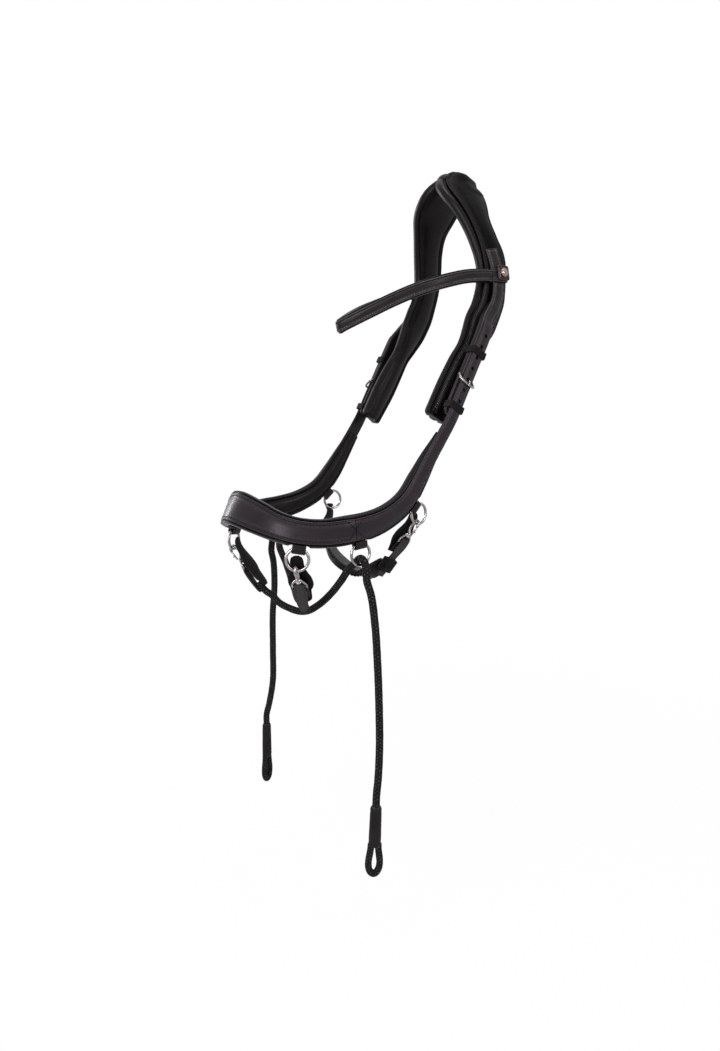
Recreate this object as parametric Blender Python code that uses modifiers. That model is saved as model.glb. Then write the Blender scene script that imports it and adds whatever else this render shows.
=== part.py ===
"""Crossunder bitless bridle in black leather, as it hangs on a horse's head.

The horse faces -Y and its left side is +X. The origin is the middle of the crown pad's underside.
All sizes below are in millimetres; meshes are made in metres.
"""

import math

import bmesh
import bpy
import numpy as np
from mathutils import Matrix, Vector

MM = 0.001
GAP = 0.3

# Leather and padding
CROWN_LEATHER = 3.0
PAD_THICKNESS = 11.0
CROWN_BULGE = 7.2
STRAP_LEATHER = 3.0
SAFE_LEATHER = 2.2
BILLET_THICKNESS = 3.0
BILLET_WIDTH = 16.0
HANGING_WIDTH = 18.0
NOSE_LEATHER = 3.0
NOSE_PADDING = 9.5
NOSE_ROLL = 3.5
BROW_LEATHER = 2.4
BROW_PADDING = 5.5
BROW_WIDTH = 15.5
HOLE_RADIUS = 2.2
HOLE_PITCH = 14.0
HOLES_ABOVE_TONGUE = 4
HOLES_BELOW_TONGUE = 2

# Down the cheek: along the strap, and across it towards the back
DOWN = Vector((0.0, -0.470, -0.883)).normalized()
ACROSS = Vector((0.0, 0.883, -0.470)).normalized()
STRAP_LINE = 60.0
STRAP_FACE = 87.2
STRAP_TOP = 137.0
BAR_DOWN = 237.5
BILLET_TIP = 72.0
SAFE_END = 49.5

# Buckle
BUCKLE_WIRE = 1.4
BUCKLE_REACH = 9.5
BUCKLE_CLEAR = 0.6
TONGUE_WIRE = 0.95
FOLD_RADIUS = 3.7

# Keepers
KEEPER_WALL = 1.5
KEEPER_HEIGHT = 8.0
KEEPER_UPPER = 30.8
KEEPER_LOWER = 39.5

# Rings and their tabs
RING_RADIUS = 11.6
RING_WIRE = 1.6
TUNNEL_RADIUS = 3.35
TUNNEL_SINK = 1.37
TAB_LEATHER = 1.35
TAB_INWARD = 5.0
TAB_WIDTH = 14.0
TAB_DROP = 2.4

# Snaps
SNAP_WIRE = 1.6
SNAP_BOWL = 3.9
EYE_DOWN = 24.5
EYE_TOP = 18.5
EYE_HALF = 7.6
EYE_WIRE = 1.2
SNAP_TAB_LEATHER = 1.8
SNAP_SAFE_LEATHER = 2.0
SNAP_INWARD = 37.0
SNAP_BACK = 13.0
JAW_BORE = 2.9

# Ropes
ROPE = 8.4
SLEEVE_RADIUS = 6.2
LOOP_ROPE = 7.6

# Studs
STUD_SIDE = 14.5
STUD_PLATE = 2.0
STUD_DOME = 5.2
LOOP_LEATHER = 2.0
LOOP_HEIGHT = 15.0

PARTS = None
CUTTERS = None
MATERIALS = {}


def clear_scene():
    """Remove what a new file holds and make the two collections."""
    global PARTS, CUTTERS
    for item in list(bpy.data.objects):
        bpy.data.objects.remove(item, do_unlink=True)
    PARTS = bpy.data.collections.new("bridle")
    CUTTERS = bpy.data.collections.new("cutters")
    bpy.context.scene.collection.children.link(PARTS)
    bpy.context.scene.collection.children.link(CUTTERS)


def make_material(name, color, roughness, metallic=0.0):
    """A Principled material for one kind of stuff."""
    material = bpy.data.materials.new(name)
    material.use_nodes = True
    shader = material.node_tree.nodes["Principled BSDF"]
    shader.inputs["Base Color"].default_value = (*color, 1.0)
    shader.inputs["Roughness"].default_value = roughness
    shader.inputs["Metallic"].default_value = metallic
    MATERIALS[name] = material


def flip(point, side):
    """A point on the chosen side: 1 is the horse's left, -1 its right."""
    return Vector((point[0] * side, point[1], point[2]))


def smooth_rows(rows, per=14):
    """Points of a smooth curve through rows of numbers, whose first three are a place."""
    rows = np.array(rows, float)
    knots = np.concatenate([[0], np.cumsum(np.linalg.norm(np.diff(rows[:, :3], axis=0), axis=1))])
    steps = np.diff(knots)
    slopes = np.diff(rows, axis=0) / steps[:, None]
    tangents = np.empty_like(rows)
    tangents[0] = slopes[0]
    tangents[-1] = slopes[-1]
    for i in range(1, len(rows) - 1):
        before, after = steps[i - 1], steps[i]
        tangents[i] = (slopes[i - 1] * after + slopes[i] * before) / (before + after)
    out = []
    for i, step in enumerate(steps):
        for k in range(per):
            u = k / per
            a = 2 * u**3 - 3 * u**2 + 1
            b = u**3 - 2 * u**2 + u
            c = -2 * u**3 + 3 * u**2
            d = u**3 - u**2
            out.append(a * rows[i] + b * step * tangents[i] + c * rows[i + 1] + d * step * tangents[i + 1])
    out.append(rows[-1])
    return np.array(out)


class Guide:
    """A strap's line: its place, the direction across it and its half width, by length along it."""

    def __init__(self, stations):
        rows = [(*point, *across, half) for point, across, half in stations]
        self.rows = smooth_rows(rows)
        lengths = np.linalg.norm(np.diff(self.rows[:, :3], axis=0), axis=1)
        self.along = np.concatenate([[0], np.cumsum(lengths)])
        self.length = float(self.along[-1])

    def row(self, s):
        """The numbers at one length."""
        return np.array([np.interp(s, self.along, self.rows[:, k]) for k in range(7)])

    def at(self, s):
        """Place, direction along, across and outward, and the half width."""
        here = self.row(s)
        ahead = self.row(min(s + 1.5, self.length))
        behind = self.row(max(s - 1.5, 0.0))
        along = Vector(ahead[:3] - behind[:3]).normalized()
        across = Vector(here[3:6])
        across = (across - along * across.dot(along)).normalized()
        return Vector(here[:3]), along, across, along.cross(across), float(here[6])

    def nearest(self, point):
        """The length at which the line passes nearest to a point."""
        gaps = np.linalg.norm(self.rows[:, :3] - np.array(point), axis=1)
        return float(self.along[int(np.argmin(gaps))])


def spaced(start, end, step):
    """Lengths from start to end, about a step apart."""
    count = max(2, int(round((end - start) / step)) + 1)
    return [start + (end - start) * i / (count - 1) for i in range(count)]


def link(item, material, origin=None):
    """Put an object with the others, with its material and its origin."""
    item.data.materials.clear()
    item.data.materials.append(MATERIALS[material])
    PARTS.objects.link(item)
    if origin is not None:
        place = Vector(origin) * MM
        item.data.transform(Matrix.Translation(item.location - place))
        item.location = place
    return item


def mesh_object(name, verts, faces):
    """An object from points in millimetres, with its faces turned outward."""
    mesh = bpy.data.meshes.new(name)
    mesh.from_pydata([Vector(v) * MM for v in verts], [], faces)
    shape = bmesh.new()
    shape.from_mesh(mesh)
    bmesh.ops.recalc_face_normals(shape, faces=shape.faces)
    shape.to_mesh(mesh)
    shape.free()
    mesh.update()
    return bpy.data.objects.new(name, mesh)


def loft(name, rings, side=1):
    """A closed solid through rings of points."""
    count = len(rings[0])
    verts = [flip(p, side) for ring in rings for p in ring]
    faces = []
    for i in range(len(rings) - 1):
        for k in range(count):
            j = (k + 1) % count
            a = i * count
            b = a + count
            if (verts[a + k] - verts[b + j]).length < (verts[a + j] - verts[b + k]).length:
                faces += [(a + k, a + j, b + j), (a + k, b + j, b + k)]
            else:
                faces += [(a + k, a + j, b + k), (a + j, b + j, b + k)]
    faces.append(tuple(reversed(range(count))))
    last = (len(rings) - 1) * count
    faces.append(tuple(range(last, last + count)))
    item = mesh_object(name, verts, faces)
    item.data.shade_smooth()
    item.data.set_sharp_from_angle(angle=math.radians(38))
    return item


def sweep(name, guide, lengths, section, side=1):
    """A closed solid along a guide: section gives (across, outward) points at each length."""
    rings = []
    for s in lengths:
        place, _, across, outward, half = guide.at(s)
        rings.append([place + across * a + outward * b for a, b in section(s, half)])
    return loft(name, rings, side)


def flat_section(half, low, high, chamfer=0.5):
    """A strap's section with eased edges."""
    c = min(chamfer, (high - low) * 0.4, half * 0.4)
    return [
        (-half + c, high),
        (half - c, high),
        (half, high - c),
        (half, low + c),
        (half - c, low),
        (-half + c, low),
        (-half, low + c),
        (-half, high - c),
    ]


def rounded_half(half, gap, radius):
    """The half width near a rounded end, from the distance to the end."""
    if gap >= radius:
        return half
    share = math.sqrt(max(0.0, 1 - ((radius - gap) / radius) ** 2))
    return max(half - radius + radius * share, half * 0.12)


def plate(name, outlines, thickness, origin, right, up, side=1):
    """A flat outline, with its holes, extruded half to each side of its own plane."""
    curve = bpy.data.curves.new(name, "CURVE")
    curve.dimensions = "2D"
    curve.fill_mode = "BOTH"
    curve.extrude = thickness / 2 * MM
    for outline in outlines:
        spline = curve.splines.new("POLY")
        spline.points.add(len(outline) - 1)
        for point, (x, y) in zip(spline.points, outline):
            point.co = (x * MM, y * MM, 0.0, 1.0)
        spline.use_cyclic_u = True
    item = bpy.data.objects.new(name, curve)
    a = flip(right, side).normalized()
    b = flip(up, side)
    b = (b - a * b.dot(a)).normalized()
    frame = Matrix((a, b, a.cross(b))).transposed().to_4x4()
    item.matrix_world = Matrix.Translation(flip(origin, side) * MM) @ frame
    return to_mesh(item)


def to_mesh(item):
    """The mesh of a curve object, welded, at the curve's place."""
    CUTTERS.objects.link(item)
    bpy.context.view_layer.update()
    depsgraph = bpy.context.evaluated_depsgraph_get()
    mesh = bpy.data.meshes.new_from_object(item.evaluated_get(depsgraph))
    mesh.transform(item.matrix_world)
    shape = bmesh.new()
    shape.from_mesh(mesh)
    bmesh.ops.remove_doubles(shape, verts=shape.verts, dist=0.000001)
    bmesh.ops.recalc_face_normals(shape, faces=shape.faces)
    shape.to_mesh(mesh)
    shape.free()
    name = item.name
    curve = item.data
    bpy.data.objects.remove(item, do_unlink=True)
    bpy.data.curves.remove(curve)
    return bpy.data.objects.new(name, mesh)


def tube(name, points, radius, side=1, closed=False, sides=2):
    """A wire or rope along points, with filled ends."""
    curve = bpy.data.curves.new(name, "CURVE")
    curve.dimensions = "3D"
    curve.bevel_depth = radius * MM
    curve.bevel_resolution = sides
    curve.use_fill_caps = not closed
    spline = curve.splines.new("POLY")
    spline.points.add(len(points) - 1)
    for item, point in zip(spline.points, points):
        item.co = (*(flip(point, side) * MM), 1.0)
    spline.use_cyclic_u = closed
    return bpy.data.objects.new(name, curve)


def arc(center, radius, start, end, count):
    """Points of an arc in a plane, angles in degrees."""
    points = []
    for i in range(count):
        angle = math.radians(start + (end - start) * i / (count - 1))
        points.append((center[0] + radius * math.cos(angle), center[1] + radius * math.sin(angle)))
    return points


def rounded_box(width, height, radius, count=4):
    """A rounded rectangle's outline about its middle."""
    x = width / 2 - radius
    y = height / 2 - radius
    points = []
    for cx, cy, start in ((x, y, 0), (-x, y, 90), (-x, -y, 180), (x, -y, 270)):
        points += arc((cx, cy), radius, start, start + 90, count)
    return points


def cutter(item):
    """Hide a tool solid among the cutters."""
    CUTTERS.objects.link(item)
    item.hide_render = True
    item.display_type = "WIRE"
    return item


def combine(item, other, operation):
    """Join another solid to this one, or cut it out."""
    modifier = item.modifiers.new(operation.lower(), "BOOLEAN")
    modifier.operation = operation
    modifier.solver = "EXACT"
    modifier.object = cutter(other)


def box_solid(name, origin, axes, sizes, side=1):
    """A box about a place, along three directions."""
    shape = bmesh.new()
    bmesh.ops.create_cube(shape, size=1.0)
    mesh = bpy.data.meshes.new(name)
    for vert in shape.verts:
        local = vert.co.copy()
        place = Vector(origin)
        for axis, size, amount in zip(axes, sizes, local):
            place = place + axis * size * amount
        vert.co = flip(place, side) * MM
    shape.normal_update()
    bmesh.ops.recalc_face_normals(shape, faces=shape.faces)
    shape.to_mesh(mesh)
    shape.free()
    return bpy.data.objects.new(name, mesh)


def rod_solid(name, start, end, radius, side=1, sides=16):
    """A round rod between two places."""
    a = flip(start, side) * MM
    b = flip(end, side) * MM
    shape = bmesh.new()
    bmesh.ops.create_cone(
        shape, cap_ends=True, segments=sides, radius1=radius * MM, radius2=radius * MM, depth=(b - a).length
    )
    mesh = bpy.data.meshes.new(name)
    shape.to_mesh(mesh)
    shape.free()
    turn = (b - a).to_track_quat("Z", "Y").to_matrix().to_4x4()
    mesh.transform(Matrix.Translation((a + b) / 2) @ turn)
    return bpy.data.objects.new(name, mesh)


def turned(name, profile, origin, axis, side=1, steps=20):
    """A turned solid from (radius, height) points, outer side from the top down."""
    mesh = bpy.data.meshes.new(name)
    verts = [(r * MM, 0.0, h * MM) for r, h in profile]
    mesh.from_pydata(verts, [(i, i + 1) for i in range(len(verts) - 1)], [])
    item = bpy.data.objects.new(name, mesh)
    screw = item.modifiers.new("turn", "SCREW")
    screw.steps = steps
    screw.render_steps = steps
    screw.use_merge_vertices = True
    screw.merge_threshold = 0.00001
    screw.use_smooth_shade = True
    turn = flip(axis, side).to_track_quat("Z", "Y").to_matrix().to_4x4()
    item.matrix_world = Matrix.Translation(flip(origin, side) * MM) @ turn
    return item


# Where each strap runs

CROWN_FRONT = [
    (0, -24, 1), (22, -42, -11), (33, -40, -32), (42, -32, -53), (50, -25, -76), (56, -19, -101),
    (62, -22, -128), (63, -33, -161), (61, -47, -187), (61, -55, -202), (62, -75, -233), (63, -99, -273),
]
CROWN_BACK = [
    (0, 25, 12), (18, 23, -7), (28, 20, -17), (41, 16, -46), (52, 20, -73), (59, 25, -94),
    (62, 22, -113), (62, 15, -137), (62, 4, -173), (62, -30, -225), (62, -54, -262), (62, -77, -296),
]


def crown_guide():
    """The crown's outer surface from the right end over the poll to the left end."""
    front = smooth_rows(CROWN_FRONT)
    back = smooth_rows(CROWN_BACK)
    half = []
    count = 25
    for i in range(count):
        place = i * (len(front) - 1) / (count - 1)
        f = Vector([np.interp(place, range(len(front)), front[:, k]) for k in range(3)])
        b = Vector([np.interp(place, range(len(back)), back[:, k]) for k in range(3)])
        half.append(((f + b) / 2, (b - f).normalized(), (b - f).length / 2))
    other = [(flip(c, -1), flip(w, -1), h) for c, w, h in reversed(half[1:])]
    return Guide(other + half)


def strap_point(down, face, line=STRAP_LINE):
    """A place on the straight cheek strap."""
    place = DOWN * down + ACROSS * line
    return Vector((face, place.y, place.z))


def strap_share(share, face=STRAP_FACE, line=STRAP_LINE):
    """A place on the cheek strap at a share of the way from its straight part's top to the buckle's bar."""
    return strap_point(STRAP_TOP + (BAR_DOWN - STRAP_TOP) * share, face, line)


def hanging_guide():
    """The outer face of the hanging strap, from its sewn top to the end of its safe."""
    half = HANGING_WIDTH / 2
    side = Vector((0.09, 1.0, 0.0))
    return Guide([
        (Vector((61.2, -2, -86)), side, half),
        (Vector((65.6, 1, -100)), side, half),
        (Vector((72.2, 3, -118)), Vector((0.08, 0.99, -0.1)), half),
        (Vector((75.2, 1.5, -135)), Vector((0, 0.98, -0.2)), half),
        (Vector((78.0, -5, -152)), Vector((0, 0.93, -0.36)), half),
        (strap_share(0.229, 82.5, 62), ACROSS, half),
        (strap_share(0.348, 86.0), ACROSS, half),
        (strap_share(0.488), ACROSS, half),
        (strap_share(0.776), ACROSS, half),
        (strap_share(1.0), ACROSS, half),
        (strap_point(BAR_DOWN + SAFE_END, STRAP_FACE), ACROSS, half),
    ])


def cheek_stations(hanging):
    """The outer face of the billet, the cheek and the noseband, from the left tip to the nose."""
    half = BILLET_WIDTH / 2
    rise = GAP + BILLET_THICKNESS
    stations = []
    for above in (BILLET_TIP, BILLET_TIP - 7.5, BILLET_TIP - 15.5, BILLET_TIP - 24.5):
        start = hanging.nearest(strap_point(BAR_DOWN - above, 85))
        place, _, across, outward, _ = hanging.at(start)
        stations.append((place + outward * rise, across, half))
    for below in (-22.5, 0, 24.5, 54.5):
        stations.append((strap_point(BAR_DOWN + below, STRAP_FACE + rise), ACROSS, half))
    stations += [
        (Vector((90.0, -99, -307.5)), Vector((0, 0.86, -0.50)), 8.6),
        (Vector((90.0, -116, -331)), Vector((0, 0.85, -0.53)), 10.8),
        (Vector((91.0, -130, -351)), Vector((0, 0.77, -0.64)), 12.4),
        (Vector((93.5, -150, -374)), Vector((0.03, 0.60, -0.80)), 13.2),
        (Vector((97.0, -178, -389)), Vector((0.02, 0.33, -0.94)), 14.0),
        (Vector((99.5, -205, -396)), Vector((0, 0.12, -0.99)), 15.0),
        (Vector((98.0, -233, -399)), Vector((-0.03, -0.10, -0.99)), 15.5),
        (Vector((86.5, -260, -400.5)), Vector((-0.02, -0.33, -0.94)), 15.0),
        (Vector((73.0, -281, -397.5)), Vector((0, -0.42, -0.91)), 15.3),
        (Vector((56.0, -296, -391.5)), Vector((0, -0.42, -0.91)), 15.8),
        (Vector((36.0, -306, -384.5)), Vector((0, -0.41, -0.91)), 17.5),
        (Vector((0.0, -314.5, -377)), Vector((0, -0.42, -0.91)), 19.0),
    ]
    return stations


def nose_guide(hanging):
    """The whole line from the left billet's tip round the nose to the right one."""
    left = cheek_stations(hanging)
    other = [(flip(c, -1), flip(w, -1), h) for c, w, h in reversed(left[:-1])]
    return Guide(left + other)


def brow_guide():
    """The browband's outer face from the left loop to the right one, whose half hangs slacker."""
    half = BROW_WIDTH / 2
    rows = [
        (74.6, -9.9, -119.5, 0.0), (75.4, -19, -120.1, 0.0), (76.2, -29, -121.4, 0.0), (77, -50, -124.8, 0.0),
        (75.5, -74, -130.8, 0.03), (70, -97, -137.8, 0.06), (60, -118, -145.8, 0.1), (46, -138, -156, 0.14),
        (30, -156, -167, 0.18), (14, -170.5, -176.5, 0.22), (0, -179, -183, 0.25),
    ]
    slack = (0.0, 0.1, 2.6, 7.6, 10.8, 12.5, 13.1, 11.2, 7.7, 3.6)
    left = [(Vector((x, y, z)), Vector((0, lean, -1)), half) for x, y, z, lean in rows]
    right = [(flip(c, -1) - Vector((0, 0, drop)), flip(w, -1), h) for (c, w, h), drop in zip(left, slack)]
    return Guide(left + right[::-1])


def ramp(value, low, high):
    """0 below low, 1 above high, straight between."""
    return min(1.0, max(0.0, (value - low) / (high - low)))


def build_crown(crown):
    """The pad over the poll with its rolled edges, and the stitched leather on it."""
    middle = crown.length / 2

    def leather_edges(s, half):
        away = abs(s - middle)
        front = 5.5 + 5.5 * max(0.0, 1 - away / 120)
        return -half + front, half - 3.2

    def top(s, w, half):
        away = abs(s - middle)
        return CROWN_BULGE * max(0.0, 1 - away / 90) ** 2 * (1 - (w / half) ** 2)

    def stops(s, half):
        low, high = leather_edges(s, half)
        return [low + (high - low) * i / 4 for i in range(5)]

    def pad_section(s, half):
        gap = min(s, crown.length - s)
        half = rounded_half(half, gap, 4.0)
        marks = stops(s, half)
        low, high = marks[0], marks[-1]
        roll = low + half
        sink = 0.5 * top(s, 0, half)
        points = [(w, top(s, w, half)) for w in marks]
        points += [(high + 0.6, top(s, high, half) - 0.1), (half - 1.0, 0.7), (half, -3.4), (half - 0.6, -7.0)]
        inner = [
            (half - 3.2, 1.4),
            (half - 5.4, 2.4),
            (half - 8.5, 0.5),
            (half * 0.3, 0.0),
            (-half * 0.3, 0.0),
            (-half + 8.5, 0.5),
            (-half + 5.4, 2.4),
            (-half + 3.2, 1.4),
        ]
        points += [(w, h - PAD_THICKNESS + sink * (1 - abs(w) / half)) for w, h in inner]
        points += [(-half + 0.6, -7.0), (-half, -3.4), (-half + 1.6, 0.2)]
        points += [(-half + roll * 0.5, top(s, -half + roll * 0.5, half) + 1.2), (low - 0.6, top(s, low, half) - 0.1)]
        return points

    def leather_section(s, half):
        gap = min(s, crown.length - s)
        half = rounded_half(half, gap, 4.0)
        marks = stops(s, half)
        upper = [(w, top(s, w, half) + GAP + CROWN_LEATHER) for w in marks]
        lower = [(w, top(s, w, half) + GAP) for w in marks]
        low, high = marks[0], marks[-1]
        upper[0] = (low + 0.6, upper[0][1])
        upper[-1] = (high - 0.6, upper[-1][1])
        side_low = (low, upper[0][1] - 0.7)
        side_high = (high, upper[-1][1] - 0.7)
        return upper + [side_high] + lower[::-1] + [side_low]

    lengths = [0.0, 1.2, 3.0, 5.0] + spaced(12.0, crown.length - 12.0, 17.5) + [crown.length - 5.0]
    lengths += [crown.length - 3.0, crown.length - 1.2, crown.length]
    link(sweep("crown_pad", crown, lengths, pad_section), "lining")
    inner = lengths[2:-2]
    link(sweep("crown_leather", crown, inner, leather_section), "leather")


def hanging_section(hanging):
    """The strap is one layer, then two folded round the buckle's bar, then only its safe."""
    fold = hanging.nearest((78.0, -5, -152))
    bar = hanging.nearest(strap_point(BAR_DOWN, STRAP_FACE))
    depth = 2 * FOLD_RADIUS

    def section(s, half):
        high = 0.0
        low = -STRAP_LEATHER - (depth - STRAP_LEATHER) * ramp(s, fold, fold + 5)
        if s > bar:
            reach = min(1.0, (s - bar) / FOLD_RADIUS)
            high = max(-depth + SAFE_LEATHER, -FOLD_RADIUS + FOLD_RADIUS * math.sqrt(1 - reach * reach))
        gap = hanging.length - s
        return flat_section(rounded_half(half, gap, 5.0), low, high)

    return section, fold, bar


def build_hanging(hanging, side, label):
    """Hanging strap with the fold, bore and slot for its buckle."""
    section, fold, bar = hanging_section(hanging)
    lengths = spaced(0.0, fold, 8.0) + [fold + 5.0] + spaced(fold + 14, bar, 14.0)
    lengths += [bar + FOLD_RADIUS * r for r in (0.35, 0.65, 0.88, 0.995)]
    lengths += [bar + FOLD_RADIUS + 0.4, hanging.length - 5, hanging.length - 2.5, hanging.length - 0.8, hanging.length]
    strap = sweep("hanging_strap_" + label, hanging, lengths, section, side)
    a = strap_point(BAR_DOWN, STRAP_FACE - FOLD_RADIUS)
    half = HANGING_WIDTH
    bore = rod_solid("bar_bore_" + label, a - ACROSS * half, a + ACROSS * half, BUCKLE_WIRE + 0.35, side)
    out = Vector((1, 0, 0))
    slot = box_solid("slot_" + label, a + DOWN * 0.7, (DOWN, out, ACROSS), (9.6, 12.0, 3.0), side)
    combine(strap, bore, "DIFFERENCE")
    combine(strap, slot, "DIFFERENCE")
    link(strap, "leather")


def build_buckle(side, label):
    """Wire frame hinged in the strap's fold, and its tongue round the same bar."""
    a = strap_point(BAR_DOWN, STRAP_FACE - FOLD_RADIUS)
    out = Vector((1, 0, 0))
    rise = FOLD_RADIUS + GAP + BILLET_THICKNESS + GAP + BUCKLE_WIRE
    b = a + DOWN * BUCKLE_REACH + out * rise
    slant = (b - a).normalized()
    reach = (b - a).length
    half = HANGING_WIDTH / 2 + BUCKLE_CLEAR + BUCKLE_WIRE
    outline = rounded_box(2 * half, reach, 2.4)
    points = [a + slant * (y + reach / 2) + ACROSS * x for x, y in outline]
    frame = tube("buckle_frame_" + label, points, BUCKLE_WIRE, side, closed=True)
    link(frame, "metal", flip(a, side))
    ring = BUCKLE_WIRE + GAP + TONGUE_WIRE
    over = rise + BUCKLE_WIRE + GAP + TONGUE_WIRE
    path = arc((0, 0), ring, 70, 340, 11)
    path += [(3.0, 1.4), (3.5, 4.0), (4.0, 6.2), (5.1, 8.7), (7.0, 10.7), (BUCKLE_REACH, over), (12.0, over - 0.4)]
    points = [a + DOWN * x + out * y for x, y in path]
    link(tube("buckle_tongue_" + label, points, TONGUE_WIRE, side), "metal", flip(a, side))


def build_keeper(side, name, down):
    """A leather runner round the strap and the billet."""
    low = -2 * FOLD_RADIUS - GAP
    high = GAP + BILLET_THICKNESS + GAP
    place = strap_point(down, STRAP_FACE + (low + high) / 2)
    inner = rounded_box(HANGING_WIDTH + 2 * GAP, high - low, 0.7, 3)
    outer = rounded_box(HANGING_WIDTH + 2 * GAP + 2 * KEEPER_WALL, high - low + 2 * KEEPER_WALL, 2.0, 4)
    item = plate(name, [outer, inner], KEEPER_HEIGHT, place, ACROSS, Vector((1, 0, 0)), side)
    link(item, "leather", flip(place, side))


def nose_inset(half):
    """How far the leather's edge lies inside the padding's roll."""
    return NOSE_ROLL * ramp(half, 8.2, 13.0)


def nose_marks(nose):
    """Lengths shared by the leather and the padding, so that their facets lie together."""
    return spaced(0.0, nose.length, 15.0)


def build_cheek(nose, seam, side, label):
    """Billet with its holes, going down into the leather of the cheek."""
    def section(s, half):
        half = rounded_half(half - nose_inset(half), s, half)
        return flat_section(half, -BILLET_THICKNESS, 0.0)

    tip = [0.0, 0.6, 1.8, 3.6, 5.8, 8.2]
    lengths = tip + [s for s in nose_marks(nose) if 12 < s < seam - 3] + [seam - GAP]
    cheek = sweep("cheekpiece_" + label, nose, lengths, section, side)
    out = Vector((1, 0, 0))
    for k in range(-HOLES_ABOVE_TONGUE, HOLES_BELOW_TONGUE + 1):
        down = BAR_DOWN + 3.75 + k * HOLE_PITCH
        hole = strap_point(down, STRAP_FACE)
        punch = rod_solid(f"punch_{label}_{k}", hole - out * 1.5, hole + out * 12, HOLE_RADIUS, side, 10)
        combine(cheek, punch, "DIFFERENCE")
    link(cheek, "leather")


def build_nose(nose, seam, tabs):
    """Noseband leather, and the padding with its rolls, notched for the ring tabs."""
    def leather(s, half):
        return flat_section(half - nose_inset(half), -NOSE_LEATHER, 0.0)

    marks = [s for s in nose_marks(nose) if seam + 3 < s < nose.length - seam - 3]
    marks = [seam + GAP] + marks + [nose.length - seam - GAP]
    link(sweep("noseband_leather", nose, marks, leather), "leather")
    marks = nose_marks(nose)
    start = min(marks, key=lambda s: abs(s - nose.nearest((90.0, -95, -303))))
    face = -NOSE_LEATHER - GAP

    def lining(s, half):
        gap = min(s - start, nose.length - start - s)
        depth = NOSE_PADDING * (0.4 + 0.6 * ramp(gap, 0, 60))
        inset = nose_inset(half)
        lift = 2.6 * inset / NOSE_ROLL
        k = min(1.0, half / 13)
        side_points = [
            (half - inset * 0.86 - 0.5, face),
            (half - inset * 0.70 - 0.3, face + lift * 0.9),
            (half - inset * 0.3 - 0.1, face + lift),
            (half, face - depth * 0.22),
            (half - 0.5, face - depth * 0.58),
            (half - 2.4 * k, face - depth * 0.78),
            (half - 4.4 * k, face - depth * 0.66),
            (half - 7.0 * k, face - depth * 0.88),
            (half * 0.28, face - depth),
        ]
        return side_points + [(-w, n) for w, n in reversed(side_points)]

    lengths = [s for s in marks if start <= s <= nose.length - start + 0.01]
    pad = sweep("noseband_lining", nose, lengths, lining)
    for label, s in tabs:
        for side in (1, -1):
            place, along, across, outward, half = nose.at(s)
            lobe = TUNNEL_RADIUS + TAB_LEATHER
            low = half + TAB_DROP - lobe - GAP
            high = half + 5.0
            depth = lobe + TAB_INWARD + 0.4
            center = place + across * (low + high) / 2 + outward * (1.0 - depth) / 2
            notch = box_solid(
                f"notch_{label}_{side}", center, (along, across, outward), (TAB_WIDTH + 1.0, high - low, 1.0 + depth), side
            )
            combine(pad, notch, "DIFFERENCE")
    link(pad, "lining")


def tab_place(nose, s):
    """The tunnel's axis point, its direction, and the directions in, out and down."""
    place, along, across, outward, half = nose.at(s)
    axis = place + across * (half + TAB_DROP) + outward * -TAB_INWARD
    down = Vector((0, 0, -1))
    down = (down - along * down.dot(along)).normalized()
    return axis, along, across, outward, down


def build_ring(nose, s, side, label):
    """A folded tab in the lining's notch and the ring in its tunnel."""
    axis, along, across, outward, down = tab_place(nose, s)
    r = TUNNEL_RADIUS + TAB_LEATHER
    outline = arc((0, 0), r, 180, 360, 7) + [(r, r - 0.6), (r - 0.6, r), (-r + 0.6, r), (-r, r - 0.6)]
    bore = arc((0, 0), TUNNEL_RADIUS, 0, 330, 12)
    tab = plate("ring_tab_" + label, [outline, bore], TAB_WIDTH, axis, outward, -across, side)
    link(tab, "leather")
    center = axis + down * (RING_RADIUS - TUNNEL_SINK)
    normal = flip(along.cross(down), side)
    bpy.ops.mesh.primitive_torus_add(
        major_segments=24, minor_segments=8, major_radius=RING_RADIUS * MM, minor_radius=RING_WIRE * MM
    )
    ring = bpy.context.object
    for owner in list(ring.users_collection):
        owner.objects.unlink(ring)
    ring.name = "ring_" + label
    ring.data.name = ring.name
    ring.data.transform(Matrix.Translation(flip(center, side) * MM) @ normal.to_track_quat("Z", "Y").to_matrix().to_4x4())
    ring.data.shade_smooth()
    hinge = center if label.startswith("back") else axis
    link(ring, "metal", flip(hinge, side))
    return center, along, down


class SnapFrame:
    """Where a snap hangs: its ring's wire, and the directions down the snap, outward and across."""

    def __init__(self, origin, down, outward, across):
        self.origin = origin
        self.down = down
        self.outward = outward
        self.across = across

    def at(self, a, b, c=0.0):
        """A place down, outward and across from the ring's wire."""
        return self.origin + self.down * a + self.outward * b + self.across * c


def snap_guide(snap, stations):
    """A guide in a snap's own plane, from (down, outward, half width)."""
    return Guide([(snap.at(a, b), snap.across, h) for a, b, h in stations])


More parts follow.
